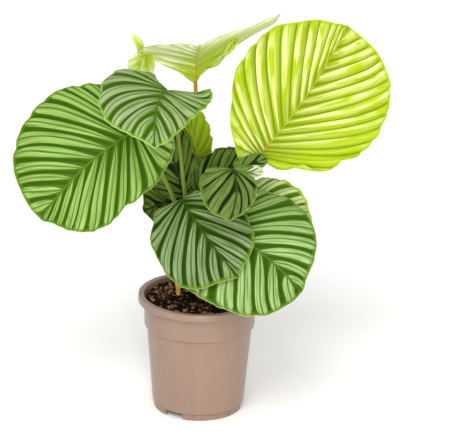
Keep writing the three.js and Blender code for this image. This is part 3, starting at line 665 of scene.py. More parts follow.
    # Relief: fine veins, a crease along each main vein, and a faint grain in the wax
    vein_wave = add("Math", [fine_place, math.tau], operation="MULTIPLY")
    vein_wave = add("Math", [vein_wave], operation="SINE")
    groove = add("MapRange", [crest, 0.0, 0.25, -CREASE_DEPTH, 0.0], **SMOOTH)
    relief = add("Math", [vein_wave, groove], operation="ADD")
    grain = add("TexNoise", {"Scale": 1 / (WAX_GRAIN * MM), "Detail": 2.0})
    relief = add("Math", [relief, grain], operation="ADD")
    skin = add("BsdfPrincipled", {
        "Base Color": colour,
        "Normal": add("Bump", {"Height": relief, "Distance": VEIN_RELIEF * MM}),
        "Roughness": add("MapRange", [streak, 0.3, 0.7, gloss - 0.04, gloss + 0.05]),
        "IOR": LEAF_IOR,
        "Specular IOR Level": shine,
        "Subsurface Weight": LIGHT_SHARE,
        "Subsurface Radius": DEPTH_BY_COLOUR,
        "Subsurface Scale": LIGHT_DEPTH * MM,
    })
    add("OutputMaterial", {"Surface": skin})
    return material


print("fine veins in each band:", FINE_VEINS_PER_BAND)

# %% [markdown]
# No two leaves of the plant have the same green, and much of the difference is painted light and shade.
# The grown leaves share one striped skin: the ones in full light get brighter copies of it, painted light,
# and the ones inside darker copies, painted shade. The crown leaf is silvery, and the young ones are still
# yellow-green, with glossy folds for bands: their pale bands are painted highlights on the lit flank of each
# fold, and the dark lines in the creases are painted shade. The young one under the crown is darker, painted
# shade. The top leaf still unrolls, and pales towards its edges. The small one is cupped, and its turned-up
# margin shows a greyish underside.
# Colours stand in the order: pale band, green between, dark band, margin, the very edge, midrib near the
# tip, and midrib near the joint. A grown leaf's underside is duller, with weaker bands.

# %% Leaf finishes
GROWN = dict(gloss=0.42, dark_share=0.3, contrast=0.95, line=0.75)
# The lower leaf's pale bands fade at its base, as painted shade
LOWER = dict(GROWN, plain=0.5)
SHADED = dict(gloss=0.42, dark_share=0.2, contrast=0.75, line=0.75)
CUPPED = dict(SHADED, line=0.3, contrast=0.65)
BELOW = dict(gloss=0.5, dark_share=0.3, contrast=0.6, line=0.3)
# Folded leaves: pale bands as painted highlights on the lit flank of each fold, dark crease lines as painted
# shade
FOLDED = dict(
    gloss=0.36, dark_share=0.1, contrast=0.9, line=0.2, patch=1.0, lean=0.85, plain=0.9, crease=0.8,
    shine=0.12, rib_width=1.2, rib_reach=0.6,
)
UNROLLING = dict(FOLDED, blanch=0.75)
SCREENED = dict(FOLDED, contrast=0.4)
# The grown finishes are one skin in lighter and darker copies: sunlit, hindmost and pale carry painted
# light, shaded and cupped carry painted shade
FINISH_COLOURS = {
    "sunlit": dict(
        upper=("#92b461", "#4a6a0d", "#2d5100", "#52780f", "#aec288", "#4e7216", "#557519"),
        under=("#a9ba98", "#758f31", "#657b01", "#839a2d", "#bac198", "#7a8c2d", "#7a8c2d"),
        look=GROWN,
    ),
    "hindmost": dict(
        upper=("#c2cf9c", "#7c962c", "#3c6200", "#93ac2c", "#d3d9a0", "#7c9638", "#829a3c"),
        under=("#b0bfa0", "#8ba052", "#5f7a04", "#9dab4c", "#c2c6a0", "#929d4c", "#929d4c"),
        look=GROWN,
    ),
    "pale": dict(
        upper=("#9ab976", "#476614", "#2c4c01", "#557615", "#bfcb98", "#4b6b1b", "#536d1e"),
        under=("#afbb8d", "#708935", "#678014", "#7e922b", "#bbc682", "#72852b", "#72852b"),
        look=LOWER,
    ),
    # The crown leaf's midrib colour near the joint is a painted highlight, a whitish spot where blade and
    # stalk meet
    "silvery": dict(
        upper=("#a5b788", "#628928", "#385606", "#75a528", "#c1cd92", "#447115", "#c2d79b"),
        under=("#b0bf92", "#a4c65f", "#868f33", "#b2d34e", "#cad2a4", "#a6c34e", "#a6c34e"),
        look=GROWN,
    ),
    "deep": dict(
        upper=("#859b6e", "#375a0f", "#1f3602", "#587f10", "#a2b079", "#35480f", "#5b5b1f"),
        under=("#99a280", "#819647", "#6b6b14", "#8fa639", "#b7b797", "#859439", "#859439"),
        look=GROWN,
    ),
    "shaded": dict(
        upper=("#6a8633", "#1c3403", "#081f00", "#254303", "#8fa148", "#25380c", "#293b0f"),
        under=("#91a552", "#425c1f", "#2f5401", "#4a6518", "#a9ba5f", "#445c19", "#445c19"),
        look=SHADED,
    ),
    "cupped": dict(
        upper=("#7b9450", "#324810", "#102200", "#557a1c", "#98a459", "#2c440e", "#344414"),
        under=("#e2e8d4", "#a4b088", "#5c7034", "#b4c294", "#c6cfa0", "#8c9a6a", "#8c9a6a"),
        look=CUPPED,
    ),
    # The young leaf's pale colour is the painted highlight on its folds, and its dark colour the painted
    # shade in their creases
    "young": dict(
        upper=("#d4e985", "#a4c025", "#87a003", "#aec928", "#d6eb7b", "#b5c63e", "#ae9e1d"),
        under=("#e4eaa6", "#a2ba0c", "#5c7400", "#92ae06", "#c2d454", "#a0a02c", "#b4720c"),
        look=FOLDED,
    ),
    # Darker than the young leaf and without highlights: painted shade under the crown leaf
    "screened": dict(
        upper=("#b4c45c", "#8ca61c", "#6a8400", "#92ac20", "#b6c85c", "#a0a838", "#9c8a1c"),
        under=("#a8bc48", "#8aa614", "#5f7a00", "#8aa614", "#b0c450", "#9aa030", "#a0740e"),
        look=SCREENED,
    ),
    "unrolling": dict(
        upper=("#eff7c8", "#c2d84a", "#9cb903", "#d3e24e", "#a3b682", "#d4cc5a", "#cba237"),
        under=("#fcffe9", "#ccde56", "#9cb703", "#c6d458", "#a3b682", "#c8aa3a", "#d09624"),
        look=UNROLLING,
    ),
}
LEAF_FINISHES = {}
for finish, entry in FINISH_COLOURS.items():
    under_look = entry["look"] if "crease" in entry["look"] else BELOW
    LEAF_FINISHES[finish] = dict(
        upper=blade_material(f"leaf_skin_{finish}", *entry["upper"], **entry["look"]),
        under=blade_material(f"leaf_underside_{finish}", *entry["under"], **under_look),
    )
print("leaf finishes:", ", ".join(LEAF_FINISHES))

# %% [markdown]
# Each blade and its curls are one mesh, as they are one sheet of the same leaf. It replaces its plain solid,
# and rides on the one body that the plant has.

# %% Build the blades
blades = {}
midribs = {}
for number, (name, values) in enumerate(LEAVES.items()):
    leaf = {**PLAIN_LEAF, **values}
    LEAVES[name] = leaf
    midribs[name] = Midrib(leaf)
    curls = [{**PLAIN_LEAF, **CURL, **curl} for curl in leaf["curls"]]
    sheets = [blade_mesh(leaf, midribs[name], LEAF_SEED + number)]
    sheets += [blade_mesh(curl, Midrib(curl), LEAF_SEED + number) for curl in curls]
    points, faces, slots, attributes = joined(sheets)
    finish = LEAF_FINISHES[leaf["finish"]]
    blade = build_piece(f"leaf_{name}", points, faces, [finish["upper"], finish["under"]], slots, attributes)
    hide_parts(f"blade_{name}")
    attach(blade, "root")
    blades[name] = blade
print("blade faces:", {name: len(b.data.polygons) for name, b in blades.items()})

# %% [markdown]
# A leaf stalk is a smooth juicy rod that thins upward, wrapped at its foot by a thin sheath that dries to a
# straw colour, with a slightly thicker knee right under the blade. It is swept along the same smooth
# curve as its solid: a centripetal Catmull-Rom curve, which passes through its points without overshooting.

# %% The stalk's curve
STALK_FOOT_RADIUS = 3.4
STALK_TOP_RADIUS = 2.3
STALK_ROOT_DEPTH = 22
STALK_NECK_LENGTH = 20
SEAT_GAP = 0.3
STALK_STEPS = 72
CURVE_STEPS = 40
STALK_SIDES = 18
SOLID_THICKNESS = 0.9


def stalk_course(leaf, midrib):
    """The points that a stalk passes, and the direction that its top is cut across."""
    _, _, slope = midrib.at(np.array(0.0))
    forward = midrib.forward * math.cos(slope) + midrib.up * math.sin(slope)
    up = midrib.up * math.cos(slope) - midrib.forward * math.sin(slope)
    under = SOLID_THICKNESS / 2 + RIB_DEPTH
    end = midrib.joint + forward * STALK_TOP_RADIUS - up * under
    ahead, above = leaf["approach"]
    approach = unit(forward * ahead + up * above)
    way = [np.array(p, float) for p in leaf["stalk"]]
    root = way[0] - [0, 0, STALK_ROOT_DEPTH]
    mouth = way[0] - [0, 0, STALK_ROOT_DEPTH / 3]
    return [root, mouth, *way, end - approach * STALK_NECK_LENGTH, end], up


def smooth_curve(points, samples):
    """Evenly spaced points on a centripetal Catmull-Rom curve through the given points."""
    ends = [2 * points[0] - points[1], *points, 2 * points[-1] - points[-2]]
    line = []
    for p0, p1, p2, p3 in zip(ends, ends[1:], ends[2:], ends[3:]):
        d0, d1, d2 = (math.sqrt(np.linalg.norm(b - a)) for a, b in ((p0, p1), (p1, p2), (p2, p3)))
        m1 = ((p1 - p0) / d0 - (p2 - p0) / (d0 + d1) + (p2 - p1) / d1) * d1
        m2 = ((p2 - p1) / d1 - (p3 - p1) / (d1 + d2) + (p3 - p2) / d2) * d1
        for s in np.linspace(0, 1, CURVE_STEPS, endpoint=False):
            a = 2 * s ** 3 - 3 * s ** 2 + 1
            b = s ** 3 - 2 * s ** 2 + s
            c = -2 * s ** 3 + 3 * s ** 2
            d = s ** 3 - s ** 2
            line.append(a * p1 + b * m1 + c * p2 + d * m2)
    line = np.array([*line, points[-1]])
    marks = np.concatenate([[0], np.cumsum(np.linalg.norm(np.diff(line, axis=0), axis=1))])
    even = np.linspace(0, marks[-1], samples)
    return np.stack([np.interp(even, marks, line[:, k]) for k in range(3)], axis=1), marks[-1]


left_course, _ = stalk_course(left_leaf, left_midrib)
_, left_length = smooth_curve(left_course, STALK_STEPS)
print("stalk of the large left leaf:", round(float(left_length)), "mm long with its foot in the soil")

# %% [markdown]
# The stalk's skin is green where light reaches it and straw-coloured at the foot, and a young leaf's stalk
# is amber near its blade. Its colour follows the distance from the soil, with thin lengthwise streaks a
# millimetre apart, and it is glossier than the blade.

# %% Stalk finish
STALK_IOR = 1.45
STREAK_STRETCH = 0.06
STRAW_TO_LOW = (18.0, 50.0)
LOW_TO_HIGH = (55.0, 140.0)
HIGH_TO_KNEE = (0.9, 0.95)


def stalk_material(name, foot, low, high, knee):
    """Stalk skin in four colours, from the soil up to the knee under the blade."""
    material, add = new_material(name)
    rise, up, round_mm = (
        add("Attribute", attribute_name=key).outputs["Fac"] for key in ("rise_mm", "up", "round_mm")
    )
    to_low = add("MapRange", [rise, *STRAW_TO_LOW], **SMOOTH)
    to_high = add("MapRange", [rise, *LOW_TO_HIGH], **SMOOTH)
    to_knee = add("MapRange", [up, *HIGH_TO_KNEE], **SMOOTH)
    colour = linear(foot)
    for share, tone in ((to_low, low), (to_high, high), (to_knee, knee)):
        colour = add("Mix", {0: share, 6: colour, 7: linear(tone)}, **IN_COLOUR)
    slow_rise = add("Math", [rise, STREAK_STRETCH], operation="MULTIPLY")
    place = add("CombineXYZ", {"X": round_mm, "Y": slow_rise, "Z": 0.0})
    streak = add("TexNoise", {"Vector": place, "Scale": 0.9, "Detail": 3.0})
    light = add("MapRange", [streak, 0.3, 0.7, 0.8, 1.15])
    skin = add("BsdfPrincipled", {
        "Base Color": add("VectorMath", {0: colour, "Scale": light}, operation="SCALE"),
        "Normal": add("Bump", {"Height": streak, "Distance": 0.15 * MM, "Strength": 0.6}),
        "Roughness": 0.36,
        "IOR": STALK_IOR,
    })
    add("OutputMaterial", {"Surface": skin})
    return material


GREEN_STALK = stalk_material("green_leaf_stalk", "#dcb45c", "#868426", "#6c7c1c", "#5a6a1e")
AMBER_STALK = stalk_material("amber_leaf_stalk", "#dcb45c", "#8a8a28", "#94881c", "#b08420")
print("stalk finishes:", GREEN_STALK.name, "and", AMBER_STALK.name)

# %% [markdown]
# Rings of points are set along the curve. Each ring starts in the direction of the one before, laid square
# to the curve again, so the stalk never twists. The last ring is cut as the blade's underside lies.

# %% Build the stalks
SHEATH_PLACE = (0.3, 0.08)
KNEE_PLACE = (0.95, 0.05)
KNEE_SWELL = 0.5
SHEATH_RIDGES = 5
RIDGE_SHARE = 0.12


def stalk_mesh(leaf, midrib):
    """Points, faces and attributes of a stalk swept along its curve."""
    course, top_cut = stalk_course(leaf, midrib)
    line, length = smooth_curve(course, STALK_STEPS + 1)
    u = np.linspace(0, 1, STALK_STEPS + 1)
    directions = np.gradient(line, axis=0)
    directions[-1] = top_cut
    sheath = leaf["sheath"] * bump(u, *SHEATH_PLACE)
    swell = KNEE_SWELL * bump(u, *KNEE_PLACE)
    radii = STALK_FOOT_RADIUS + (STALK_TOP_RADIUS - STALK_FOOT_RADIUS) * u + sheath + swell
    across = np.array([1.0, 0, 0])
    points, rise, around = [], [], []
    for k in range(STALK_STEPS + 1):
        direction = unit(directions[k])
        across = unit(across - direction * (across @ direction))
        other = np.cross(direction, across)
        for side in range(STALK_SIDES):
            angle = math.tau * side / STALK_SIDES
            radius = radii[k] + RIDGE_SHARE * sheath[k] * math.cos(SHEATH_RIDGES * angle)
            points.append(line[k] + (across * math.cos(angle) + other * math.sin(angle)) * radius)
            rise.append(u[k] * length - STALK_ROOT_DEPTH)
            around.append(radii[k] * abs(math.pi - angle))
    ids, walls = ring_walls(STALK_STEPS + 1, STALK_SIDES)
    faces = [*walls[:, [0, 3, 2, 1]].tolist(), ids[0][::-1].tolist(), ids[-1].tolist()]
    attributes = {"rise_mm": rise, "up": np.repeat(u, STALK_SIDES), "round_mm": around}
    return np.array(points), faces, attributes


for name, leaf in LEAVES.items():
    points, faces, attributes = stalk_mesh(leaf, midribs[name])
    material = AMBER_STALK if leaf["finish"] in ("young", "unrolling") else GREEN_STALK
    stalk = build_piece(f"petiole_{name}", points, faces, [material], attributes=attributes)
    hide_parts(f"stalk_{name}")
    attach(stalk, "root")
print("stalks:", len(LEAVES))

# %% [markdown]
# The pot is injection-moulded polypropylene, the thin tapered kind that growers use: a rolled lip, a deeper
# collar under it, a slightly smaller body, and a foot ring with notches that let water out. It is turned as
# one outline whose corners are rounded, because a moulded edge is never sharp, and light catches on its
# rounding. The notches and the drain holes are then cut out.

# %% Pot outline
RIM_MOUTH_RADIUS = 77
LIP_DROP = 9
COLLAR_HEIGHT = 44
COLLAR_RADIUS = 76.8
COLLAR_STEP = 3.4
BASE_RADIUS = 63.2
FOOT_HEIGHT = 9
FOOT_RADIUS = 61
WALL = 1.5
FLOOR = 2.8
CORNER_ROUND = 0.8
COLLAR_SHOULDER = 1.2
FLOOR_ROUND = 3
FOOT_WALL = 2.2
FOOT_TAPER = 0.3
LIP_THINNING = 0.3
STEP_SLOPE = 1
MOUTH_SLOPE = 2
POT_SIDES = 216
ROUND_STEPS = 4
MOST_OF_SIDE = 0.45
collar_foot = POT_HEIGHT - COLLAR_HEIGHT
lip_foot = POT_HEIGHT - LIP_DROP
floor_top = FOOT_HEIGHT + FLOOR


def body_radius(z):
    """Outer radius of the slanted body at a height."""
    top = COLLAR_RADIUS - COLLAR_STEP - COLLAR_SHOULDER
    return BASE_RADIUS + (top - BASE_RADIUS) * (z - FOOT_HEIGHT) / (collar_foot - FOOT_HEIGHT)


def rounded(outline, radius):
    """The outline with each inner corner replaced by a short curve, and its two ends kept."""
    smooth = [outline[0]]
    for before, corner, after in zip(outline, outline[1:], outline[2:]):
        reach = [min(radius, MOST_OF_SIDE * math.dist(corner, other)) for other in (before, after)]
        start, end = (
            [c + (o - c) * r / math.dist(corner, other) for c, o in zip(corner, other)]
            for other, r in zip((before, after), reach)
        )
        for s in np.linspace(0, 1, ROUND_STEPS + 1):
            smooth.append([
                (1 - s) ** 2 * a + 2 * s * (1 - s) * c + s * s * b for a, c, b in zip(start, corner, end)
            ])
    return [*smooth, outline[-1]]


lip_under = POT_HEIGHT - WALL - LIP_THINNING
POT_OUTLINE = [
    (0, floor_top),
    (body_radius(floor_top) - WALL - FLOOR_ROUND, floor_top),
    (body_radius(floor_top + FLOOR_ROUND) - WALL, floor_top + FLOOR_ROUND),
    (body_radius(collar_foot) - WALL, collar_foot + STEP_SLOPE),
    (COLLAR_RADIUS - WALL - COLLAR_SHOULDER, collar_foot + STEP_SLOPE + MOUTH_SLOPE),
    (COLLAR_RADIUS - WALL, lip_foot),
    (RIM_MOUTH_RADIUS - CORNER_ROUND, POT_HEIGHT - WALL),
    (RIM_MOUTH_RADIUS, POT_HEIGHT),
    (RIM_RADIUS - CORNER_ROUND, POT_HEIGHT),
    (RIM_RADIUS, lip_foot),
    (RIM_RADIUS - WALL, lip_foot),
    (RIM_RADIUS - WALL - CORNER_ROUND, lip_under),
    (COLLAR_RADIUS + CORNER_ROUND, lip_under),
    (COLLAR_RADIUS, lip_foot),
    (COLLAR_RADIUS - COLLAR_SHOULDER, collar_foot + STEP_SLOPE),
    (COLLAR_RADIUS - COLLAR_SHOULDER - STEP_SLOPE, collar_foot),
    (body_radius(collar_foot), collar_foot - CORNER_ROUND),
    (BASE_RADIUS, FOOT_HEIGHT + CORNER_ROUND),
    (BASE_RADIUS - CORNER_ROUND, FOOT_HEIGHT),
    (FOOT_RADIUS + FOOT_TAPER, FOOT_HEIGHT),
    (FOOT_RADIUS, 0),
    (FOOT_RADIUS - FOOT_WALL, 0),
    (FOOT_RADIUS - FOOT_WALL, FOOT_HEIGHT),
    (0, FOOT_HEIGHT),
]
pot_profile = rounded(POT_OUTLINE, CORNER_ROUND)
print("points on the pot's outline:", len(pot_profile))

# %% [markdown]
# Polypropylene comes out of a polished mould with a satin skin. Its pigment is even, so what the eye reads
# is the sheen, a very faint orange-peel relief, the dark lines of shade in the two steps of the moulding,
# and a trace of dust on the foot.

# %% Moulded plastic finish
PLASTIC_IOR = 1.49
CLOUD_SIZE = 24
CLOUD_STRETCH = (1.0, 1.0, 0.15)
DUST_SIZE = 4
DUST_HEIGHTS = (10.5, 8.5)
PEEL_SIZE = 1.6
PEEL_RELIEF = 0.04
STEP_SHADES = ((FOOT_HEIGHT, 0.55), (collar_foot, 0.35))
SHADE_REACH = (0.4, 1.2)


def moulded_polypropylene():
    """Taupe polypropylene from a polished mould."""
    material, add = new_material("moulded_polypropylene_taupe")
    place = add("TexCoord").outputs["Object"]
    height = add("SeparateXYZ", {"Vector": place}).outputs["Z"]
    drawn = add("VectorMath", [place, CLOUD_STRETCH], operation="MULTIPLY")
    cloud = add("TexNoise", {"Vector": drawn, "Scale": 1 / (CLOUD_SIZE * MM), "Detail": 3.0})
    tint = add("MapRange", [cloud, 0.35, 0.65])
    colour = add("Mix", {0: tint, 6: linear("#877164"), 7: linear("#8c7565")}, **IN_COLOUR)
    low = add("MapRange", [height, *(h * MM for h in DUST_HEIGHTS), 0.15, 0.75])
    speck = add("TexNoise", {"Vector": place, "Scale": 1 / (DUST_SIZE * MM), "Detail": 6.0})
    dusty = add("MapRange", [speck, 0.45, 0.7])
    dusty = add("Math", [dusty, low], operation="MULTIPLY")
    colour = add("Mix", {0: dusty, 6: colour, 7: linear("#755a42")}, **IN_COLOUR)
    for step_height, strength in STEP_SHADES:
        away = add("Math", [height, step_height * MM], operation="SUBTRACT")
        away = add("Math", [away], operation="ABSOLUTE")
        in_step = add("MapRange", [away, *(r * MM for r in SHADE_REACH), strength, 0.0])
        colour = add("Mix", {0: in_step, 6: colour, 7: linear("#4c3a2e")}, **IN_COLOUR)
    peel = add("TexNoise", {"Vector": place, "Scale": 1 / (PEEL_SIZE * MM), "Detail": 2.0})
    plastic = add("BsdfPrincipled", {
        "Base Color": colour,
        "Normal": add("Bump", {"Height": peel, "Distance": PEEL_RELIEF * MM, "Strength": 0.5}),
        "Roughness": add("MapRange", [cloud, 0.3, 0.7, 0.3, 0.36]),
        "IOR": PLASTIC_IOR,
    })
    add("OutputMaterial", {"Surface": plastic})
    return material


POT_PLASTIC = moulded_polypropylene()
print("pot finish:", POT_PLASTIC.name)

# %% [markdown]
# The notches and holes are cut with boolean modifiers, because a cut gives the clean thin edges that the
# mould leaves. The result is kept as the pot's own mesh, and the shapes that cut are deleted.

# %% Turn the pot and cut its notches and drain holes
FOOT_NOTCHES = 3
FOOT_NOTCH_WIDTH = 27
FOOT_NOTCH_REACH = 14
FOOT_NOTCH_FIRST_ANGLE = -32
DRAIN_HOLES = 6
DRAIN_HOLE_RADIUS = 5
DRAIN_CIRCLE_RADIUS = 42
DRAIN_SIDES = 28
CUT_SPARE = 2
NOTCH_START = -1
POT_SHARP_ANGLE = 40


def turned_mesh(profile, sides):
    """Points and faces of an outline turned round the upright axis; its two ends lie on the axis."""
    points = [(0, 0, profile[0][1]), (0, 0, profile[-1][1])]
    rings = profile[1:-1]
    for radius, z in rings:
        for k in range(sides):
            angle = math.tau * k / sides
            points.append((radius * math.cos(angle), radius * math.sin(angle), z))
    ids, walls = ring_walls(len(rings), sides, first=2)
    top = [[0, a, b] for a, b in zip(ids[0], np.roll(ids[0], -1))]
    bottom = [[1, b, a] for a, b in zip(ids[-1], np.roll(ids[-1], -1))]
    return np.array(points, float), [*walls, *top, *bottom]


def notch_box(angle_deg):
    """The box that cuts one notch through the foot ring."""
    half = FOOT_NOTCH_WIDTH / 2
    near, far = -FOOT_RADIUS - FOOT_NOTCH_REACH / 2, -FOOT_RADIUS + FOOT_NOTCH_REACH / 2
    corners = [(x, y, z) for z in (NOTCH_START, FOOT_HEIGHT) for y in (near, far) for x in (-half, half)]
    angle = math.radians(angle_deg)
    turned = [
        (x * math.cos(angle) - y * math.sin(angle), x * math.sin(angle) + y * math.cos(angle), z)
        for x, y, z in corners
    ]
    return turned, [(0, 2, 3, 1), (4, 5, 7, 6), (0, 1, 5, 4), (2, 6, 7, 3), (0, 4, 6, 2), (1, 3, 7, 5)]


def drain_hole(index):
    """The upright rod that cuts one drain hole through the floor."""
    angle = (index + 0.5) * math.tau / DRAIN_HOLES
    x, y = DRAIN_CIRCLE_RADIUS * math.cos(angle), DRAIN_CIRCLE_RADIUS * math.sin(angle)
    ring = [(DRAIN_HOLE_RADIUS * math.cos(a), DRAIN_HOLE_RADIUS * math.sin(a))
            for a in np.linspace(0, math.tau, DRAIN_SIDES, endpoint=False)]
    ends = (FOOT_HEIGHT - CUT_SPARE, floor_top + CUT_SPARE)
    points = [(x + dx, y + dy, z) for z in ends for dx, dy in ring]
    low = list(range(DRAIN_SIDES))
    high = [k + DRAIN_SIDES for k in low]
    walls = [(low[k - 1], low[k], high[k], high[k - 1]) for k in low]
    return points, [*walls, low[::-1], high]


pot = build_piece("nursery_pot", *turned_mesh(pot_profile, POT_SIDES), [POT_PLASTIC], sharp=POT_SHARP_ANGLE)
cuts = [notch_box(FOOT_NOTCH_FIRST_ANGLE + k * 360 / FOOT_NOTCHES) for k in range(FOOT_NOTCHES)]
cuts += [drain_hole(k) for k in range(DRAIN_HOLES)]
cutters = [build_piece("cutter", points, faces, []) for points, faces in cuts]
for tool in cutters:
    cut = pot.modifiers.new("cut", "BOOLEAN")
    cut.operation = "DIFFERENCE"
    cut.solver = "EXACT"
    cut.object = tool
cut_pot = pot.evaluated_get(bpy.context.evaluated_depsgraph_get())
finished = bpy.data.meshes.new_from_object(cut_pot)
pot.modifiers.clear()
pot.data = finished
pot.data.set_sharp_from_angle(angle=math.radians(POT_SHARP_ANGLE))
for tool in cutters:
    bpy.data.objects.remove(tool)
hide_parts("pot")
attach(pot, "root")
print("pot faces:", len(pot.data.polygons))

# %% [markdown]
# Potting mix is peat with bark and wood fibre: dark, matt and crumbly, with a few light fibres on top. A
# bumpy sheet makes the body of it, and over two thousand crumbs, chips and fibres are strewn on the sheet
# and joined into one piece, because the eye reads soil by the shadows between its crumbs.

# %% Peat finish
PEAT_STOPS = ((0.0, "#0e0703"), (0.35, "#28180c"), (0.6, "#5e4330"), (0.8, "#927459"), (1.0, "#c8ae94"))
MOTTLE_SIZE = 2.5
PEAT_RELIEF = 0.8


def peat_mix():
    """Moist peat and bark: matt, with a tone of its own for each crumb."""
    material, add = new_material("moist_peat_and_bark")
    tone = add("Attribute", attribute_name="tone").outputs["Fac"]
    place = add("TexCoord").outputs["Object"]
    mottle = add("TexNoise", {"Vector": place, "Scale": 1 / (MOTTLE_SIZE * MM), "Detail": 6.0})
    change = add("MapRange", [mottle, 0.3, 0.7, -0.16, 0.16])
    mixed = add("Math", [tone, change], operation="ADD")
    ramp = add("ValToRGB", {"Fac": mixed})
    stops = ramp.color_ramp.elements
    while len(stops) < len(PEAT_STOPS):
        stops.new(0.5)
    for stop, (position, colour) in zip(stops, PEAT_STOPS):
        stop.position = position
        stop.color = linear(colour)
    peat = add("BsdfPrincipled", {
        "Base Color": ramp,
        "Normal": add("Bump", {"Height": mottle, "Distance": PEAT_RELIEF * MM, "Strength": 0.8}),
        "Roughness": 0.9,
        "Specular IOR Level": 0.1,
    })
    add("OutputMaterial", {"Surface": peat})
    return material


PEAT = peat_mix()
print("soil finish:", PEAT.name)

# %% [markdown]
# The sheet has the same low lumps and mound as the soil's solid. Finer lumps go over it, and two more rings
# at its edge drop down inside the pot as a skirt.

# %% Shape the soil's sheet
SOIL_LEVEL = 151
SOIL_MOUND = dict(x=-48, y=34, height=8, spread=30)
SOIL_INSET = 1
SOIL_RADIUS = COLLAR_RADIUS - WALL - SOIL_INSET - SEAT_GAP
SOIL_RINGS = 44
SOIL_SIDES = 150
SKIRT_RINGS = 2
SKIRT_DROP = 12
LOW_LUMPS = dict(height=1.2, x_span=9, y_span=7)
SLANTED_LUMPS = dict(height=0.8, span=11)
LUMP_HEIGHT = 0.9
LUMP_RATES = (1.3, 0.7, 1.1, 0.6)
LUMP_BEND = 2
MIDDLE_TONE = 0.3
SHEET_TONE = 0.16


def soil_top(x, y):
    """Height of the soil's loose top, as its solid has it."""
    low = LOW_LUMPS["height"] * np.sin(x / LOW_LUMPS["x_span"]) * np.cos(y / LOW_LUMPS["y_span"])
    lumps = low + SLANTED_LUMPS["height"] * np.sin((x + 2 * y) / SLANTED_LUMPS["span"] + 1)
    away = math.dist((x, y), (SOIL_MOUND["x"], SOIL_MOUND["y"])) / SOIL_MOUND["spread"]
    return float(SOIL_LEVEL + lumps + SOIL_MOUND["height"] * np.exp(-(away ** 2)))


def fine_lumps(x, y):
    """Small lumps with no visible order: two waves, each bent by a slower one."""
    across, bend_across, along, bend_along = LUMP_RATES
    one = math.sin(x * across + LUMP_BEND * math.sin(y * bend_across))
    other = math.sin(y * along + LUMP_BEND * math.cos(x * bend_along))
    return LUMP_HEIGHT * one * other


def soil_sheet():
    """Points and faces of the bumpy sheet under the crumbs, with its skirt."""
    points = [(0, 0, soil_top(0, 0))]
    rows = SOIL_RINGS + SKIRT_RINGS
    for ring in range(1, rows + 1):
        radius = SOIL_RADIUS * min(ring, SOIL_RINGS) / SOIL_RINGS
        drop = SKIRT_DROP * max(ring - SOIL_RINGS, 0)
        for angle in math.tau * np.arange(SOIL_SIDES) / SOIL_SIDES:
            x, y = radius * math.cos(angle), radius * math.sin(angle)
            points.append((x, y, soil_top(x, y) + fine_lumps(x, y) - drop))
    ids, walls = ring_walls(rows, SOIL_SIDES, first=1)
    middle = [[0, a, b] for a, b in zip(ids[0], np.roll(ids[0], -1))]
    return points, [*walls, *middle, ids[-1][::-1]]


sheet_points, sheet_faces = soil_sheet()
print("points of the soil's sheet:", len(sheet_points))

# %% [markdown]
# A crumb is an icosahedron whose points are pushed in and out at random, then stretched, turned and half
# sunk. A fibre is the same shape, but thin and long. The drawn number for a size is raised to a power, so
# that small crumbs are many and large ones few. Every draw comes from one seeded generator, so the soil is
# the same in each run.

# %% Strew the crumbs and fibres
CRUMBS = dict(count=1900, sizes=(1.6, 7.0), lengths=(1.0, 2.4), tones=(0.02, 0.08, 0.2, 0.42, 0.74))
FIBRES = dict(count=420, sizes=(0.7, 1.4), lengths=(5.0, 11.0), tones=(0.5, 0.7, 0.85, 0.95))
SMALL_ONES = 2.2
UNEVENNESS = (0.7, 1.25)
FLATNESS = (0.5, 1)
MOST_TILT = 0.6
RISE = (-0.2, 1.0)
WALL_CLEARANCE = 0.6
STALK_CLEARANCE = 0.8
SOIL_SEED = 7
SOIL_SHARP_ANGLE = 30


def crumb_shape():
    """The twelve points and twenty faces of an icosahedron, from the golden ratio."""
    golden = (1 + 5 ** 0.5) / 2
    corners = [(s, t * golden, 0) for s in (-1, 1) for t in (-1, 1)]
    points = corners + [(0, x, y) for x, y, _ in corners] + [(y, 0, x) for x, y, _ in corners]
    points = np.array(points, float) / math.hypot(1, golden)
    edge = 2 / math.hypot(1, golden)
    faces = []
    for a, b, c in combinations(range(len(points)), 3):
        trio = points[[a, b, c]]
        if all(math.isclose(math.dist(trio[i - 1], trio[i]), edge) for i in range(3)):
            outward = np.dot(np.cross(trio[1] - trio[0], trio[2] - trio[0]), trio.mean(0)) > 0
            faces.append((a, b, c) if outward else (a, c, b))
    return points, np.array(faces)


def strewn(count, sizes, lengths, tones, rng):
    """Bodies and tones of crumbs, half sunk into the soil, clear of the stalks and of the pot."""
    stalks = np.array([leaf["stalk"][0][:2] for leaf in LEAVES.values()], float)
    bodies, shades = [], []
    while len(bodies) < count:
        size = sizes[0] + (sizes[1] - sizes[0]) * rng.random() ** SMALL_ONES
        stretch = rng.uniform(*lengths)
        x, y = (rng.random(2) * 2 - 1) * SOIL_RADIUS
        if math.hypot(x, y) > SOIL_RADIUS - size * stretch * WALL_CLEARANCE:
            continue
        if np.linalg.norm(stalks - (x, y), axis=1).min() < STALK_FOOT_RADIUS + size * STALK_CLEARANCE:
            continue
        body = crumb * rng.uniform(*UNEVENNESS, (len(crumb), 1))
        body = body * np.array([stretch, 1, rng.uniform(*FLATNESS)]) * size / 2
        heading = Matrix.Rotation(rng.uniform(0, math.tau), 3, "Z")
        tilt = Matrix.Rotation(rng.uniform(-MOST_TILT, MOST_TILT), 3, "Y")
        height = soil_top(x, y) + rng.uniform(*RISE) * size / 2
        bodies.append(body @ np.array(heading @ tilt).T + (x, y, height))
        shades.append(rng.choice(tones))
    return bodies, shades


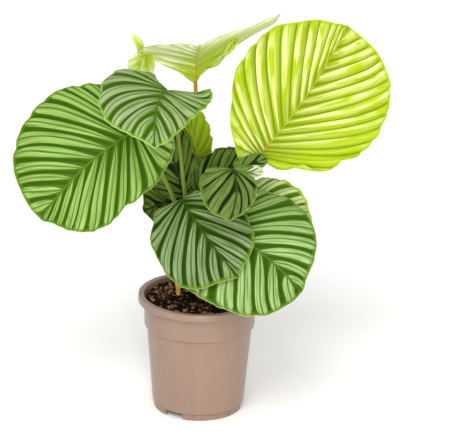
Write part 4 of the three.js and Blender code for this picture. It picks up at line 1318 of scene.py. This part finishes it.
rng = np.random.default_rng(SOIL_SEED)
crumb, crumb_faces = crumb_shape()
soil_points, soil_faces = list(sheet_points), list(sheet_faces)
soil_tones = [MIDDLE_TONE] + [SHEET_TONE] * (len(sheet_points) - 1)
for kind in (CRUMBS, FIBRES):
    for body, shade in zip(*strewn(**kind, rng=rng)):
        soil_faces.extend((crumb_faces + len(soil_points)).tolist())
        soil_points.extend(body.tolist())
        soil_tones.extend([shade] * len(body))
soil = build_piece(
    "potting_soil", soil_points, soil_faces, [PEAT], attributes={"tone": soil_tones}, sharp=SOIL_SHARP_ANGLE,
)
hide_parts("soil")
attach(soil, "root")
print("soil faces:", len(soil.data.polygons))

# %% [markdown]
# The plant is shown as in a plain studio. The floor is matt white paper, wide enough to run on into the
# white surround, so that no line shows where it ends. One flat square does, because it only takes shadows.

# %% Floor
FLOOR_HALF = 4000


def pale_floor():
    """Matt white paper with hardly any variation."""
    material, add = new_material("pale_studio_floor")
    place = add("TexCoord").outputs["Object"]
    cloud = add("TexNoise", {"Vector": place, "Scale": 1.5, "Detail": 2.0})
    paper = add("BsdfPrincipled", {
        "Base Color": add("Mix", {0: cloud, 6: linear("#fdfdfd"), 7: linear("#ffffff")}, **IN_COLOUR),
        "Roughness": 0.9,
        "Specular IOR Level": 0.1,
    })
    add("OutputMaterial", {"Surface": paper})
    return material


floor_points = [(x, y, 0) for x, y in ((-1, -1), (1, -1), (1, 1), (-1, 1))]
floor = build_piece("floor", np.array(floor_points) * FLOOR_HALF, [(0, 1, 2, 3)], [pale_floor()])
print("floor:", 2 * FLOOR_HALF * MM, "m wide")

# %% [markdown]
# One large soft light comes from the upper left and front, as from a big window. A tall narrow one stands
# straight ahead and draws the upright sheen on the pot. The bright surround fills the shadows, as a white
# studio cove does.

# %% Light
PLANT_MIDDLE = (0, 0, 300)
KEY_PLACE = (-250, -1200, 1700)
KEY_STRENGTH = 1.5
KEY_ANGLE = 30
FRONT_PLACE = (60, -2000, 500)
FRONT_SIZE = (350, 1600)
FRONT_WATTS = 30
SURROUND_STRENGTH = 0.72


def aimed(name, lamp, place, colour):
    """Puts a lamp at a place in millimetres from the pot's axis, and turns it to the plant."""
    lamp.color = linear(colour)[:3]
    holder = bpy.data.objects.new(name, lamp)
    holder.location = to_frame(place)
    way = Vector(to_frame(PLANT_MIDDLE) - to_frame(place))
    holder.rotation_euler = way.to_track_quat("-Z", "Y").to_euler()
    bpy.context.scene.collection.objects.link(holder)


key = bpy.data.lights.new("key_light", "SUN")
key.energy = KEY_STRENGTH
key.angle = math.radians(KEY_ANGLE)
aimed("key_light", key, KEY_PLACE, "#ffffff")
front = bpy.data.lights.new("front_light", "AREA")
front.shape = "RECTANGLE"
front.size, front.size_y = (side * MM for side in FRONT_SIZE)
front.energy = FRONT_WATTS
aimed("front_light", front, FRONT_PLACE, "#fff3e8")
world = bpy.data.worlds.new("white_surround")
world.use_nodes = True
world.node_tree.nodes.clear()
surround = add_node(world.node_tree, "Background", {"Color": (1, 1, 1, 1), "Strength": SURROUND_STRENGTH})
add_node(world.node_tree, "OutputWorld", {"Surface": surround})
scene = bpy.context.scene
scene.world = world
scene.view_settings.view_transform = "Standard"

# %% [markdown]
# The picture was taken from far away with a long lens, a little above the plant, which is why the pot's rim
# is a flat oval and the blades hardly shrink with distance. The camera's place was worked out from the pot:
# the oval of its rim gives the height of the view, and the spread of the whole plant its distance.

# %% Camera
IMAGE_WIDTH = 449
FOCAL_PIXELS = 2289
SENSOR_WIDTH = 36
CAMERA_TARGET = (31.1, 0, 272.5)
CAMERA_DISTANCE = 3100
CAMERA_PITCH = math.radians(19.4)
CAMERA_ROLL = math.radians(1.355)
back = Vector((0, -math.cos(CAMERA_PITCH), math.sin(CAMERA_PITCH)))
level_right = Vector((1, 0, 0))
level_up = back.cross(level_right)
right = level_right * math.cos(CAMERA_ROLL) + level_up * math.sin(CAMERA_ROLL)
up = level_up * math.cos(CAMERA_ROLL) - level_right * math.sin(CAMERA_ROLL)
lens = bpy.data.cameras.new("camera")
lens.sensor_fit = "HORIZONTAL"
lens.sensor_width = SENSOR_WIDTH
lens.lens = FOCAL_PIXELS / IMAGE_WIDTH * SENSOR_WIDTH
camera = bpy.data.objects.new("camera", lens)
turn = Matrix((right, up, back)).transposed().to_4x4()
place = Vector(to_frame(CAMERA_TARGET)) + back * CAMERA_DISTANCE * MM
camera.matrix_world = Matrix.Translation(place) @ turn
scene.collection.objects.link(camera)
scene.camera = camera
print("lens", round(lens.lens, 1), "mm at", [round(v, 3) for v in place])
